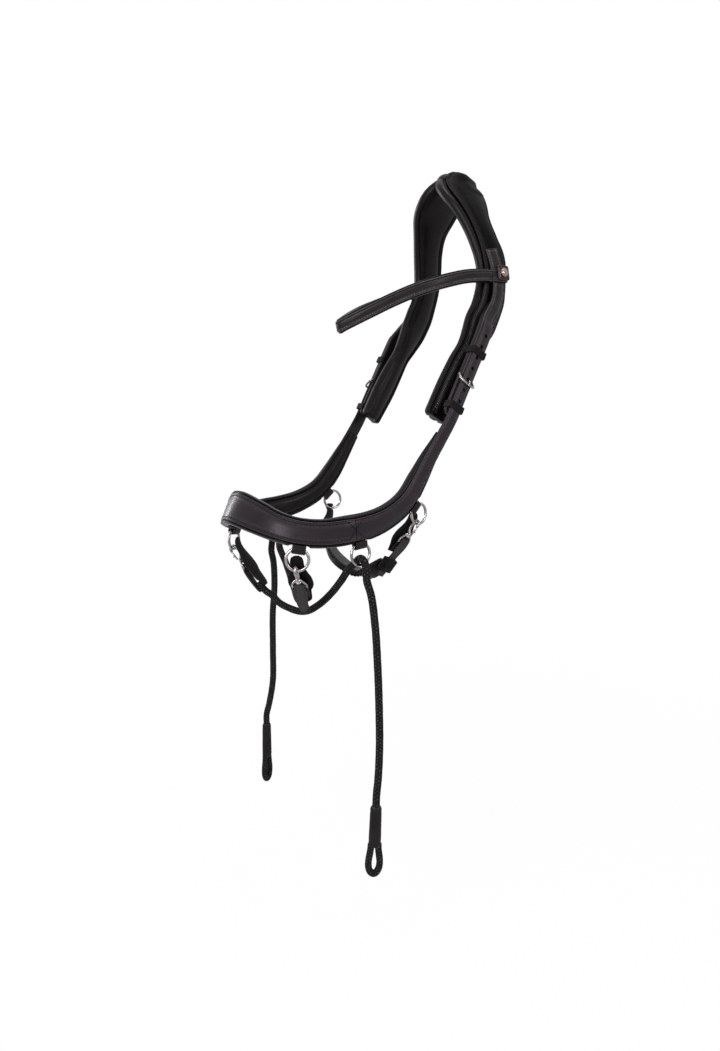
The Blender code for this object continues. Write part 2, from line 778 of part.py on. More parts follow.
FRONT_TAB = [
    (60.5, 4.3, 1.6), (58.0, 4.3, 3.8), (51, 4.3, 5.6), (42, 4.2, 6.6), (34, 3.4, 7.8), (30, 2.8, 8.1), (26.6, 2.5, 6.1),
    (24.5, 2.45, 6.1), (22.77, 1.73, 6.1), (22.05, 0, 6.1), (22.77, -1.73, 6.1), (24.5, -2.45, 6.1),
    (28.5, -2.7, 6.6), (35, -3.6, 7.6), (46.5, -4.2, 7.0),
]
FRONT_SAFE = [
    (-8.4, -13.2, 2.4), (-7.4, -12.3, 5.0), (-4.6, -10.3, 6.9), (0, -8.4, 7.3), (5, -7.6, 7.8), (11, -7.0, 9.8),
    (17, -6.5, 12.4), (22, -6.4, 13.3), (30, -6.4, 13.2), (34, -6.4, 11.8), (37.5, -6.4, 9.8), (43, -6.4, 9.2),
    (50, -6.4, 8.6), (54, -6.5, 7.6), (57, -6.6, 4.6),
]
BACK_TAB = [
    (74, 0.2, 4.8), (66, 0.1, 5.6), (58, 0.0, 5.6), (48, 0.4, 5.6), (38, 1.6, 6.0), (31, 2.4, 6.4), (26.6, 2.5, 6.1),
    (24.5, 2.45, 6.1), (22.77, 1.73, 6.1), (22.05, 0, 6.1), (22.77, -1.73, 6.1), (24.5, -2.45, 6.1),
    (29.0, -2.7, 6.4), (36, -3.2, 6.4), (42, -3.6, 6.2),
]
BACK_SAFE = [
    (-8.4, -13.2, 2.4), (-7.4, -12.3, 5.0), (-4.6, -10.3, 6.9), (0, -8.4, 7.3), (5, -7.6, 7.8), (11, -7.0, 9.8),
    (17, -6.5, 12.4), (22, -6.4, 13.0), (28, -6.4, 12.4), (33, -6.4, 10.0), (38, -6.4, 8.0), (43, -6.4, 6.6),
]


def build_snap(snap, side, label, tab_stations, safe_stations):
    """Trigger snap with its gate, its leather safe and the folded tab through its eye."""
    def piece(points):
        return [snap.at(*p) for p in points]

    hook = [(14.5, -0.4), (10.5, -3.2), (6, -4.3), (2, -4.05)]
    hook += [(-x, -y) for x, y in arc((0, 0), SNAP_BOWL, 90, -90, 8)]
    hook += [(2.6, 4.05)]
    body = to_mesh(tube("snap_" + label, piece(hook), SNAP_WIRE, side))
    profile = [(0.0, 19.6), (1.8, 19.2), (2.9, 18.0), (3.4, 16.4), (3.0, 14.8), (2.2, 13.4), (1.3, 12.6), (0.0, 12.4)]
    ball = turned("barrel_" + label, profile, snap.origin, snap.down, side, 12)
    middle = (EYE_TOP + EYE_DOWN) / 2
    eye = [(middle + y, 0.0, x) for x, y in rounded_box(2 * EYE_HALF, EYE_DOWN - EYE_TOP, 1.3, 3)]
    eye_loop = to_mesh(tube("eye_" + label, piece(eye), EYE_WIRE, side, closed=True))
    combine(body, ball, "UNION")
    combine(body, eye_loop, "UNION")
    link(body, "metal", flip(snap.origin, side))
    gate = tube("snap_gate_" + label, piece([(3.1, 4.2), (8, 4.1), (13.4, 3.9)]), 1.15, side)
    link(gate, "metal", flip(snap.at(13.2, 3.9), side))
    guide = snap_guide(snap, safe_stations)

    def safe(s, half):
        return flat_section(half, -SNAP_SAFE_LEATHER / 2, SNAP_SAFE_LEATHER / 2)

    def tab(s, half):
        return flat_section(half, -SNAP_TAB_LEATHER / 2, SNAP_TAB_LEATHER / 2, 0.4)

    link(sweep("snap_safe_" + label, guide, spaced(0, guide.length, 5.6), safe, side), "leather", flip(snap.origin, side))
    guide = snap_guide(snap, tab_stations)
    fold = guide.nearest(snap.at(22.05, 0))
    lengths = spaced(0, fold - 5.5, 6.5) + [fold + x for x in (-4.2, -2.8, -1.4, 0, 1.4, 2.8, 4.2)]
    lengths += spaced(fold + 5.5, guide.length, 6.0)
    link(sweep("snap_tab_" + label, guide, lengths, tab, side), "tab_leather", flip(snap.origin, side))


def front_snap(center, along, down):
    """The front snap's place: swung inward from its ring by the rope's pull."""
    out = along.cross(down)
    if out.x < 0:
        out = -out
    inward = math.radians(SNAP_INWARD)
    back = math.radians(SNAP_BACK)
    origin = center + down * RING_RADIUS
    hang = down * math.cos(inward) - out * math.sin(inward)
    outward = out * math.cos(inward) + down * math.sin(inward)
    aft = -along
    return SnapFrame(origin, hang * math.cos(back) + aft * math.sin(back), outward,
                     hang * math.sin(back) - aft * math.cos(back))


JAW_LOOP = Vector((60, -155, -456))


def back_snap(center, along, down):
    """The back snap's place, on the low side of its ring, pulled towards the jaw strap's loop."""
    out = along.cross(down)
    if out.x < 0:
        out = -out
    radial = Vector((0, -0.35, -0.94))
    radial = (radial - out * radial.dot(out)).normalized()
    across = out.cross(radial)
    if across.y < 0:
        across = -across
    origin = center + radial * RING_RADIUS
    pull = JAW_LOOP - origin
    pull = (pull - across * pull.dot(across)).normalized()
    outward = across.cross(pull)
    if outward.x < 0:
        outward = -outward
    return SnapFrame(origin, pull, outward, across), radial


def build_jaw(snap, radial):
    """Padded strap from the right back ring to the loop for the left snap's tail."""
    ring = flip(snap.origin, -1)
    across = flip(snap.across, -1)
    inward = -flip(radial, -1)
    loop = snap.at(58, 0)
    out = snap.outward
    ends = loop - out * 5.5
    start = ring + inward * 0.5
    guide = Guide([
        (start + Vector((-2.6, 0.6, 3.0)), across, 4.6),
        (start + Vector((2.0, -1.0, -4.4)), across, 5.0),
        (Vector((-70, -153, -423)), across, 6.0),
        (Vector((-45, -164, -434)), Vector((0, 0.97, -0.25)), 6.2),
        (Vector((-22, -173, -444)), Vector((0, 0.98, -0.2)), 8.5),
        (Vector((0, -178, -452)), Vector((0, 0.98, -0.2)), 11.0),
        (Vector((20, -177, -458.5)), Vector((0, 0.98, -0.2)), 12.0),
        (Vector((38, -168, -463)), Vector((0.2, 0.95, -0.2)), 12.0),
        (ends, Vector((0.3, 0.93, -0.2)), 8.0),
    ])

    def section(s, half):
        grow = ramp(half, 6.2, 11.0)
        low = -1.6 - 1.6 * grow
        high = 1.6 + 2.6 * grow
        end = max(0.0, 1 - s / 9.0)
        return flat_section(half, low - 2.9 * end, high + 2.9 * end, 1.2)

    strap = sweep("jaw_strap", guide, [0.0, 1.0, 3.0, 6.0, 9.0] + spaced(16, guide.length, 10.0), section)
    bore = rod_solid("ring_bore", start - across * 12, start + across * 12, JAW_BORE)
    outer = rounded_box(19.0, 9.5, 3.5, 4)
    inner = rounded_box(12.3, 2.7, 0.8, 3)
    collar = plate("jaw_loop", [outer], 16.0, loop, snap.across, snap.outward)
    hollow = plate("jaw_hollow", [inner], 40.0, loop, snap.across, snap.outward)
    combine(strap, bore, "DIFFERENCE")
    combine(strap, collar, "UNION")
    combine(strap, hollow, "DIFFERENCE")
    link(strap, "leather", flip(snap.origin, 1))


def rope_points(front, ring_wire, below):
    """The left rope's line: from the right front snap under the jaw and up through the left middle ring."""
    start = [flip(front.at(*p), -1) for p in ((49, -0.9), (58, -0.9), (64, -1.9), (70, -4.4))]
    under = [(-29, -244, -500), (-13, -238, -504.5), (0, -234, -505.5), (13, -229.5, -502.5), (26, -224.5, -494),
             (45, -219, -477), (62, -216.5, -459), (77, -216, -443)]
    if below:
        under = [(-29, -243.5, -496), (-13, -238.5, -494.5), (0, -233, -494), (13, -229, -492.5), (26, -224, -488),
                 (45, -219, -475), (62, -216.5, -459), (77, -216, -443)]
    through = [ring_wire + Vector(p) for p in ((-9.2, 0.6, 2.5), (-4.9, 0.4, 5.6), (0, 0, 6.6), (5.0, -0.2, 4.6),
                                               (7.4, 0.4, -1.6))]
    fall = [(104, -213, -452), (106, -209.5, -466), (109.5, -206.5, -498), (115, -207, -540), (117.5, -206.5, -590),
            (119, -207, -636), (122.5, -211.5, -668), (124.2, -214.7, -683), SLEEVE_TOP]
    return [Vector(p) for p in start + under] + through + [Vector(p) for p in fall]


SLEEVE_TOP = Vector((124, -215, -695))
SLEEVE_BOTTOM = Vector((123, -216, -741))


def build_rope(front, ring_wire, side, label):
    """Braided rope, its leather sleeve and its eye loop."""
    points = rope_points(front, ring_wire, side < 0)
    rows = smooth_rows([tuple(p) for p in points], 10)
    along = np.concatenate([[0], np.cumsum(np.linalg.norm(np.diff(rows, axis=0), axis=1))])
    over = along[int(np.argmin(np.linalg.norm(rows - np.array(ring_wire + Vector((0, 0, 6.6))), axis=1)))]
    marks = spaced(0, over - 17, 14) + spaced(over - 13, over + 17, 3.6) + spaced(over + 24, along[-1] - 1.5 * GAP, 17)
    line = [Vector([np.interp(s, along, rows[:, k]) for k in range(3)]) for s in marks]
    link(tube("rope_" + label, line, ROPE / 2, side), "rope")
    axis = (SLEEVE_BOTTOM - SLEEVE_TOP).normalized()
    across = Vector((0.45, 0.89, 0)).normalized()
    guide = Guide([(SLEEVE_TOP, across, SLEEVE_RADIUS), (SLEEVE_BOTTOM, across, SLEEVE_RADIUS)])

    def section(s, half):
        ease = 0.8 + 0.2 * min(1.0, min(s, guide.length - s) / 4.0)
        ring = []
        for x, y in arc((0, 0), 1.0, 0, 324, 10):
            ring.append((x * half * ease * (1.0 + 0.12 * s / guide.length), y * half * ease * 0.86))
        return ring

    link(sweep("rope_sleeve_" + label, guide, [0, 2, 4, 23, guide.length - 4, guide.length - 2, guide.length],
               section, side), "leather")
    start = SLEEVE_BOTTOM + axis * GAP
    outline = [(-4.0, 0), (-4.7, 7), (-5.9, 15), (-6.2, 22), (-5.0, 28), (-2.4, 31.8)]
    outline += [(0, 32.8)] + [(-x, y) for x, y in reversed(outline)]
    rows = smooth_rows([tuple(start + across * x + axis * y) for x, y in outline], 2)
    link(tube("rope_loop_" + label, [Vector(r) for r in rows], LOOP_ROPE / 2, side), "rope")


def build_brow(brow):
    """Browband leather and its padding."""
    def leather(s, half):
        return flat_section(half - 1.6, -BROW_LEATHER, 0.0)

    def padding(s, half):
        face = -BROW_LEATHER - GAP
        depth = BROW_PADDING * (0.55 + 0.45 * ramp(min(s, brow.length - s), 6, 30))
        points = [
            (half - 1.4, face),
            (half - 0.5, face + 0.9),
            (half, face - depth * 0.3),
            (half - 1.0, face - depth * 0.8),
            (half * 0.4, face - depth),
        ]
        return points + [(-w, n) for w, n in reversed(points)]

    lengths = spaced(0, brow.length, 19.0)
    link(sweep("browband_leather", brow, lengths, leather), "leather")
    link(sweep("browband_padding", brow, lengths, padding), "lining")


def build_loop_and_stud(hanging, side, label):
    """The browband's loop round the hanging strap, and the square press stud that closes it."""
    s = hanging.nearest((72.2, 3, -118))
    place, along, across, outward, _ = hanging.at(s)
    slack = 0.8
    inner = rounded_box(HANGING_WIDTH + 3 * slack, STRAP_LEATHER + 2 * slack, 0.8, 3)
    outer = rounded_box(
        HANGING_WIDTH + 3 * slack + 2 * LOOP_LEATHER, STRAP_LEATHER + 2 * slack + 2 * LOOP_LEATHER, 2.2, 4
    )
    middle = place - outward * STRAP_LEATHER / 2
    link(plate("browband_loop_" + label, [outer, inner], LOOP_HEIGHT, middle, across, outward, side), "leather")
    face = slack + LOOP_LEATHER + GAP
    stud = place + across * 4.0 + outward * (face + STUD_PLATE / 2)
    square = rounded_box(STUD_SIDE, STUD_SIDE, 2.6, 5)
    link(plate("stud_plate_" + label, [square], STUD_PLATE, stud, across, along, side), "leather")
    r = STUD_DOME
    profile = [(0.0, 2.6), (r * 0.45, 2.4), (r * 0.8, 1.8), (r, 0.9), (r, 0.0), (0.0, 0.0)]
    base = place + across * 4.0 + outward * (face + STUD_PLATE + GAP)
    link(turned("stud_dome_" + label, profile, base, outward, side, 18), "stud_metal")


def main():
    """Make the whole bridle."""
    clear_scene()
    make_material("leather", (0.030, 0.027, 0.028), 0.42)
    make_material("lining", (0.022, 0.020, 0.021), 0.5)
    make_material("tab_leather", (0.075, 0.070, 0.070), 0.6)
    make_material("rope", (0.030, 0.029, 0.031), 0.8)
    make_material("metal", (0.70, 0.66, 0.65), 0.2, 1.0)
    make_material("stud_metal", (0.62, 0.55, 0.54), 0.25, 1.0)
    crown = crown_guide()
    build_crown(crown)
    hanging = hanging_guide()
    nose = nose_guide(hanging)
    seam = nose.nearest((98.6, -224, -398.3))
    tabs = [
        ("front", nose.nearest((77.0, -275, -398.5))),
        ("middle", nose.nearest((99.0, -217, -397.5))),
        ("back", nose.nearest((93.0, -146, -371.5))),
    ]
    build_nose(nose, seam, tabs)
    build_brow(brow_guide())
    front = None
    wire = None
    for side, label in ((1, "left"), (-1, "right")):
        build_hanging(hanging, side, label)
        build_buckle(side, label)
        build_keeper(side, "keeper_upper_" + label, BAR_DOWN - KEEPER_UPPER)
        build_keeper(side, "keeper_lower_" + label, BAR_DOWN + KEEPER_LOWER)
        build_cheek(nose, seam, side, label)
        build_loop_and_stud(hanging, side, label)
        for place, s in tabs:
            center, along, down = build_ring(nose, s, side, place + "_" + label)
            if place == "front":
                front = front_snap(center, along, down)
                build_snap(front, side, "front_" + label, FRONT_TAB, FRONT_SAFE)
            if place == "middle":
                wire = center + down * RING_RADIUS
            if place == "back" and side > 0:
                back, radial = back_snap(center, along, down)
                build_snap(back, side, "back_left", BACK_TAB, BACK_SAFE)
                build_jaw(back, radial)
        build_rope(front, wire, side, label)


main()
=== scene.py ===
"""A crossunder bitless bridle in black leather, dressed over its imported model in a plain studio.

The horse faces -Y and its left side is +X. Sizes are in millimetres, and meshes are made in metres.
"""

import logging
import math
from collections.abc import Callable, Sequence
from dataclasses import dataclass, field
from enum import Enum
from functools import cache
from typing import Any, ClassVar, NamedTuple, Union

import bmesh
import bpy
import numpy as np
from mathutils import Matrix, Vector


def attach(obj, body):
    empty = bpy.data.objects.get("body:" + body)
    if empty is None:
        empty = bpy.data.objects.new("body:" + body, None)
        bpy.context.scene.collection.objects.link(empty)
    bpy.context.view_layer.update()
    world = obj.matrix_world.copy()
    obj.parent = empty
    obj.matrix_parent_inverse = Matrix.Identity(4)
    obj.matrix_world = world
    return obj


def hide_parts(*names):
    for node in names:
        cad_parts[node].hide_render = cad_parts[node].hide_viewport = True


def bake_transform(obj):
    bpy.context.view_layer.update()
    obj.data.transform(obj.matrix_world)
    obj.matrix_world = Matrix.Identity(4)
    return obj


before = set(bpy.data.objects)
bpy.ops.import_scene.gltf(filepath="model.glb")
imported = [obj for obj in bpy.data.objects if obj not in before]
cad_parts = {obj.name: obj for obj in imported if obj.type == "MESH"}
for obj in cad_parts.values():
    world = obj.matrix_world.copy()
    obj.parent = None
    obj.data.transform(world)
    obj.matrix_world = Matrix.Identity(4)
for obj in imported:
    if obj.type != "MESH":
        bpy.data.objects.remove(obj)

MM = 0.001
GAP = 0.3
DOWN = Vector((0.0, -0.470, -0.883)).normalized()
ACROSS = Vector((0.0, 0.883, -0.470)).normalized()
OUT = Vector((1.0, 0.0, 0.0))
log = logging.getLogger("bridle")

Pair = tuple[float, float]
Mark = tuple[float, float, float]
Colour = tuple[float, float, float]
Station = tuple[Sequence[float], Sequence[float], float]
Section = Callable[[float, float], list[Mark]]
Points = Sequence[Vector]
Face = tuple[int, ...]
Piece = bpy.types.Object
Number = Union[float, "Shade"]


class Side(Enum):
    """The two sides of the horse."""

    LEFT = 1
    RIGHT = -1

    @property
    def label(self) -> str:
        """The word that ends a node's name."""
        return self.name.lower()

    @property
    def other(self) -> "Side":
        """The opposite side."""
        return Side(-self.value)

    def of(self, name: str) -> str:
        """A name on this side."""
        return f"{name}_{self.label}"

    def put(self, point: Sequence[float]) -> Vector:
        """A point of the left side, on this side."""
        return Vector((point[0] * self.value, point[1], point[2]))


class Slot(Enum):
    """Material slot names."""

    LEATHER = "black_leather"
    LINING = "soft_lining_leather"
    TAB = "matt_tab_leather"
    ROPE = "braided_rope"
    NICKEL = "nickel"
    STUD = "stud_metal"


# Materials


class Shade:
    """A shader socket that adds and multiplies as a number does."""

    def __init__(self, graph: "Graph", socket: bpy.types.NodeSocket) -> None:
        """Wrap one output socket of a graph."""
        self.graph = graph
        self.socket = socket

    def _math(self, operation: str, other: Number) -> "Shade":
        """A Math node of this and another value."""
        return self.graph.add("ShaderNodeMath", {"operation": operation}, {0: self, 1: other})

    def __add__(self, other: Number) -> "Shade":
        """This plus another."""
        return self._math("ADD", other)

    def __mul__(self, other: Number) -> "Shade":
        """This times another."""
        return self._math("MULTIPLY", other)


class Graph:
    """One material's nodes, made by name with their settings and inputs."""

    def __init__(self, name: str) -> None:
        """Start a material that holds only its Principled shader."""
        self.material = bpy.data.materials.new(name)
        self.material.use_nodes = True
        self.tree = self.material.node_tree
        self.shader = self.tree.nodes["Principled BSDF"]

    def add(self, kind: str, settings: dict[str, Any], inputs: dict[Any, Any], output: Any = 0) -> Shade:
        """Add a node.

        Args:
            kind: the node's type.
            settings: its properties.
            inputs: values or links, by socket name or number.
            output: the output socket's name or number.

        Returns:
            The node's output.
        """
        node = self.tree.nodes.new(kind)
        for name, value in settings.items():
            setattr(node, name, value)
        for name, value in inputs.items():
            self._feed(node.inputs[name], value)
        return Shade(self, node.outputs[output])

    def _feed(self, socket: bpy.types.NodeSocket, value: Any) -> None:
        """Link a socket or set its value."""
        if isinstance(value, Shade):
            self.tree.links.new(value.socket, socket)
        elif isinstance(value, tuple) and socket.type == "RGBA":
            socket.default_value = (*value, 1.0)
        else:
            socket.default_value = value

    def noise(self, scale: float, detail: float) -> Shade:
        """Noise over the piece, with its scale per metre."""
        return self.add("ShaderNodeTexNoise", {}, {"Vector": self.place(), "Scale": scale, "Detail": detail})

    def place(self) -> Shade:
        """Where a point is on its own piece."""
        return self.add("ShaderNodeTexCoord", {}, {}, "Object")

    def mark(self) -> Shade:
        """The number kept at each point of a mesh, such as a strand's height or a strap's edge wear and
        painted highlight.
        """
        return self.add("ShaderNodeAttribute", {"attribute_name": "mark"}, {}, "Fac")

    def mix(self, share: Number, first: Any, second: Any) -> Shade:
        """A colour between two others."""
        return self.add("ShaderNodeMix", {"data_type": "RGBA"}, {0: share, 6: first, 7: second}, 2)

    def ramp(self, value: Number, low: float, high: float) -> Shade:
        """0 below low, 1 above high."""
        return self.add("ShaderNodeMapRange", {}, {0: value, 1: low, 2: high})

    def bump(self, height: Number, depth: float, strength: float, under: Shade | None = None) -> Shade:
        """A normal from a height.

        Args:
            height: the height.
            depth: what a height of 1 stands for, in millimetres.
            strength: how much of it shows.
            under: the normal beneath it.

        Returns:
            The normal.
        """
        inputs = {"Height": height, "Distance": depth * MM, "Strength": strength}
        if under is not None:
            inputs["Normal"] = under
        return self.add("ShaderNodeBump", {}, inputs)

    def finish(self, **sockets: Any) -> bpy.types.Material:
        """Feed the shader's sockets, with spaces in their names as underscores."""
        for name, value in sockets.items():
            self._feed(self.shader.inputs[name.replace("_", " ")], value)
        return self.material


@dataclass(frozen=True)
class Finish:
    """What a surface is made of, with the name of its material slot."""

    name: str
    slot: Slot = field(default=Slot.LEATHER, kw_only=True)

    def make(self) -> bpy.types.Material:
        """The material."""
        raise NotImplementedError


@cache
def material_of(finish: Finish) -> bpy.types.Material:
    """A finish's material, made once."""
    return finish.make()


@dataclass(frozen=True)
class LeatherFinish(Finish):
    """Waxed black leather with a fine grain, browner and paler where its rounded edges and crests take the
    edge colour, which is partly rubbed wear and partly painted highlight.
    """

    colour: Colour = (0.0085, 0.0074, 0.0082)
    glow: Colour = (0.0160, 0.0140, 0.0152)
    # edge colour: rubbed wear and painted highlight on rounded edges and crests
    edge: Colour = (0.062, 0.055, 0.056)
    smooth: float = 0.30
    dull: float = 0.42
    grain: float = 0.55
    grain_depth: float = 0.05
    crease_depth: float = 0.25
    gloss: float = 0.11
    tint: Colour = (1.0, 0.90, 0.95)

    def make(self) -> bpy.types.Material:
        """The material."""
        graph = Graph(self.name)
        cloud = graph.noise(38.0, 4.0)
        fine = graph.noise(420.0, 3.0)
        pores = {"Vector": graph.place(), "Scale": 1000.0 / self.grain, "Smoothness": 0.6}
        cells = graph.add("ShaderNodeTexVoronoi", {"feature": "SMOOTH_F1"}, pores)
        body = graph.mix(graph.ramp(cloud, 0.35, 0.72), self.colour, self.glow)
        # the mark mixes in the edge colour: rubbed wear and painted highlight along rounded edges and crests
        colour = graph.mix(graph.ramp(graph.mark() * 0.9 + fine * 0.5, 0.55, 1.15), body, self.edge)
        rough = graph.ramp(cloud * 0.6 + fine * 0.4, 0.35, 0.65) * (self.dull - self.smooth) + self.smooth
        folds = graph.bump(graph.noise(95.0, 5.0), self.crease_depth, 0.5)
        normal = graph.bump(cells, self.grain_depth, 0.6, folds)
        return graph.finish(
            Base_Color=colour, Roughness=rough, Normal=normal,
            Specular_IOR_Level=self.gloss, Specular_Tint=self.tint,
        )


@dataclass(frozen=True)
class MetalFinish(Finish):
    """Bright plate with hairline rubbing."""

    colour: Colour
    shade: Colour
    smooth: float
    dull: float

    def make(self) -> bpy.types.Material:
        """The material."""
        graph = Graph(self.name)
        cloud = graph.noise(160.0, 4.0)
        hair = graph.noise(1400.0, 2.0)
        colour = graph.mix(graph.ramp(cloud, 0.38, 0.68), self.colour, self.shade)
        rough = graph.ramp(cloud * 0.5 + hair * 0.5, 0.35, 0.66) * (self.dull - self.smooth) + self.smooth
        normal = graph.bump(hair, 0.015, 0.4)
        return graph.finish(Base_Color=colour, Roughness=rough, Metallic=1.0, Normal=normal)


@dataclass(frozen=True)
class ThreadFinish(Finish):
    """Waxed thread."""

    colour: Colour
    pale: Colour
    roughness: float = 0.62

    def make(self) -> bpy.types.Material:
        """The material."""
        graph = Graph(self.name)
        ply = graph.noise(2600.0, 2.0)
        colour = graph.mix(graph.ramp(graph.noise(260.0, 3.0), 0.4, 0.65), self.colour, self.pale)
        rough = graph.ramp(ply, 0.3, 0.7) * 0.12 + self.roughness
        normal = graph.bump(ply, 0.06, 0.7)
        return graph.finish(Base_Color=colour, Roughness=rough, Normal=normal, Specular_IOR_Level=0.1)


@dataclass(frozen=True)
class BraidFinish(Finish):
    """Dull braided cord with paler yarns among the black, painted shade in the grooves between strands, and
    painted highlight on the pale yarns' crests.
    """

    colour: Colour = (0.0085, 0.0080, 0.0085)
    # painted shade colour for the grooves between strands
    deep: Colour = (0.0025, 0.0025, 0.0027)
    # pale yarn colour, which also paints highlight on the strand crests
    pale: Colour = (0.15, 0.14, 0.14)

    def make(self) -> bpy.types.Material:
        """The material."""
        graph = Graph(self.name)
        yarn = graph.mark()
        hair = graph.noise(1500.0, 4.0)
        patch = graph.noise(230.0, 3.0)
        # pale yarn flecks on the strand crests, partly real yarn and partly painted highlight
        pale_yarn_and_highlight = graph.ramp(yarn, 1.2, 1.8) * graph.ramp(hair * 0.4 + patch * 0.6, 0.36, 0.52)
        # low strand height darkens towards the groove colour: painted shade between strands
        base = graph.mix(graph.ramp(yarn + hair * 0.3, 0.15, 0.85), self.deep, self.colour)
        colour = graph.mix(pale_yarn_and_highlight * 0.85, base, self.pale)
        rough = graph.ramp(hair, 0.3, 0.7) * 0.15 + 0.66
        normal = graph.bump(hair, 0.16, 0.8)
        return graph.finish(Base_Color=colour, Roughness=rough, Normal=normal, Specular_IOR_Level=0.08)


STRAP = LeatherFinish("waxed strap leather")
CROWN = LeatherFinish(
    "crown leather", (0.0026, 0.0023, 0.0023), (0.0048, 0.0042, 0.0042), (0.030, 0.026, 0.026),
    smooth=0.34, dull=0.46, grain=0.7, gloss=0.018,
)
NOSE = LeatherFinish(
    "noseband leather", (0.0118, 0.0091, 0.0119), (0.0178, 0.0138, 0.0176), (0.035, 0.028, 0.034),
    dull=0.40, gloss=0.16,
)
PAD = LeatherFinish(
    "padded leather", (0.0028, 0.0025, 0.0026), (0.0050, 0.0043, 0.0045), (0.016, 0.0135, 0.0138),
    smooth=0.32, dull=0.44, grain=0.42, grain_depth=0.04, crease_depth=0.3, gloss=0.13, slot=Slot.LINING,
)
MATT = LeatherFinish(
    "matt keeper leather", (0.0036, 0.0033, 0.0033), (0.0062, 0.0056, 0.0056), (0.014, 0.0125, 0.0125),
    smooth=0.50, dull=0.66, grain=0.5, grain_depth=0.08, gloss=0.07,
)
GREY = LeatherFinish(
    "flesh side of a tab", (0.030, 0.0275, 0.0275), (0.048, 0.044, 0.044), (0.02, 0.017, 0.017),
    smooth=0.58, dull=0.75, grain=0.45, grain_depth=0.10, gloss=0.1, slot=Slot.TAB,
)
SLEEVE = LeatherFinish("rope sleeve leather", smooth=0.40, dull=0.58, grain=0.6, grain_depth=0.1, gloss=0.08)
NICKEL = MetalFinish("nickel plate", (0.38, 0.352, 0.348), (0.20, 0.184, 0.18), 0.10, 0.24, slot=Slot.NICKEL)
ROSE = MetalFinish("rose silver dome", (0.37, 0.31, 0.30), (0.20, 0.16, 0.155), 0.12, 0.28, slot=Slot.STUD)
BRONZE = MetalFinish(
    "dark rose plate", (0.050, 0.037, 0.035), (0.026, 0.019, 0.018), 0.18, 0.34, slot=Slot.STUD
)
CHEEK_THREAD = ThreadFinish("charcoal thread", (0.024, 0.022, 0.023), (0.055, 0.051, 0.053))
DARK_THREAD = ThreadFinish("black thread", (0.0040, 0.0036, 0.0040), (0.012, 0.011, 0.012))
PALE_THREAD = ThreadFinish("grey thread", (0.060, 0.056, 0.058), (0.15, 0.14, 0.142))
LADDER_THREAD = ThreadFinish("pale ladder thread", (0.085, 0.080, 0.082), (0.17, 0.16, 0.162))
ROPE = BraidFinish("braided cord", slot=Slot.ROPE)


# Lines and sections


def smooth_rows(rows: Sequence[Sequence[float]], per: int = 14) -> np.ndarray:
    """Points of a smooth curve through rows of numbers.

    Args:
        rows: rows whose first three numbers are a place.
        per: how many points each step gets.

    Returns:
        The points, a row for each.
    """
    table = np.array(rows, float)
    steps = np.linalg.norm(np.diff(table[:, :3], axis=0), axis=1)
    slopes = np.diff(table, axis=0) / steps[:, None]
    tangents = np.vstack([slopes[:1], np.empty_like(slopes[1:]), slopes[-1:]])
    for i in range(1, len(table) - 1):
        before, after = steps[i - 1], steps[i]
        tangents[i] = (slopes[i - 1] * after + slopes[i] * before) / (before + after)
    out = []
    for i, step in enumerate(steps):
        for k in range(per):
            u = k / per
            start = 2 * u**3 - 3 * u**2 + 1
            end = -2 * u**3 + 3 * u**2
            leave = (u**3 - 2 * u**2 + u) * step
            arrive = (u**3 - u**2) * step
            out.append(start * table[i] + leave * tangents[i] + end * table[i + 1] + arrive * tangents[i + 1])
    out.append(table[-1])
    return np.array(out)


def spaced(start: float, end: float, step: float) -> list[float]:
    """Lengths from start to end, about a step apart."""
    count = max(2, int(round((end - start) / step)) + 1)
    return [start + (end - start) * i / (count - 1) for i in range(count)]


def evenly(points: Sequence[Sequence[float]], step: float, per: int = 10) -> list[Vector]:
    """Points a step apart on a smooth curve through places."""
    rows = smooth_rows([tuple(p) for p in points], per)
    along = np.concatenate([[0], np.cumsum(np.linalg.norm(np.diff(rows, axis=0), axis=1))])
    return [Vector([np.interp(s, along, rows[:, k]) for k in range(3)]) for s in spaced(0, along[-1], step)]


def ramp(value: float, low: float, high: float) -> float:
    """0 below low, 1 above high, straight between."""
    return min(1.0, max(0.0, (value - low) / (high - low)))


def rounded_half(half: float, gap: float, radius: float) -> float:
    """The half width near a rounded end, from the distance to the end."""
    if gap >= radius:
        return half
    share = math.sqrt(max(0.0, 1 - ((radius - gap) / radius) ** 2))
    return max(half - radius + radius * share, half * 0.12)


def arc(radius: float, start: float, end: float, count: int, center: Pair = (0, 0)) -> list[Pair]:
    """Points of an arc.

    Args:
        radius: its radius.
        start: its first angle, in degrees.
        end: its last angle, in degrees.
        count: how many points it gets.
        center: its middle.

    Returns:
        The points.
    """
    angles = [math.radians(start + (end - start) * i / (count - 1)) for i in range(count)]
    return [(center[0] + radius * math.cos(a), center[1] + radius * math.sin(a)) for a in angles]


def rounded_box(width: float, height: float, radius: float, count: int = 6) -> list[Pair]:
    """A rounded rectangle's outline about its middle.

    Args:
        width: its width.
        height: its height.
        radius: its corners' radius.
        count: how many points each corner gets.

    Returns:
        The outline's points.
    """
    x = width / 2 - radius
    y = height / 2 - radius
    corners = ((x, y, 0), (-x, y, 90), (-x, -y, 180), (x, -y, 270))
    return [p for cx, cy, start in corners for p in arc(radius, start, start + 90, count, (cx, cy))]


def circle(center: Vector, a: Vector, b: Vector, radius: float, count: int) -> list[Vector]:
    """Points round a circle.

    Args:
        center: its middle.
        a: the direction of its first point.
        b: the direction a quarter turn on.
        radius: its radius.
        count: how many points it gets.

    Returns:
        The points.
    """
    turns = [2 * math.pi * k / count for k in range(count)]
    return [center + a * (radius * math.cos(t)) + b * (radius * math.sin(t)) for t in turns]


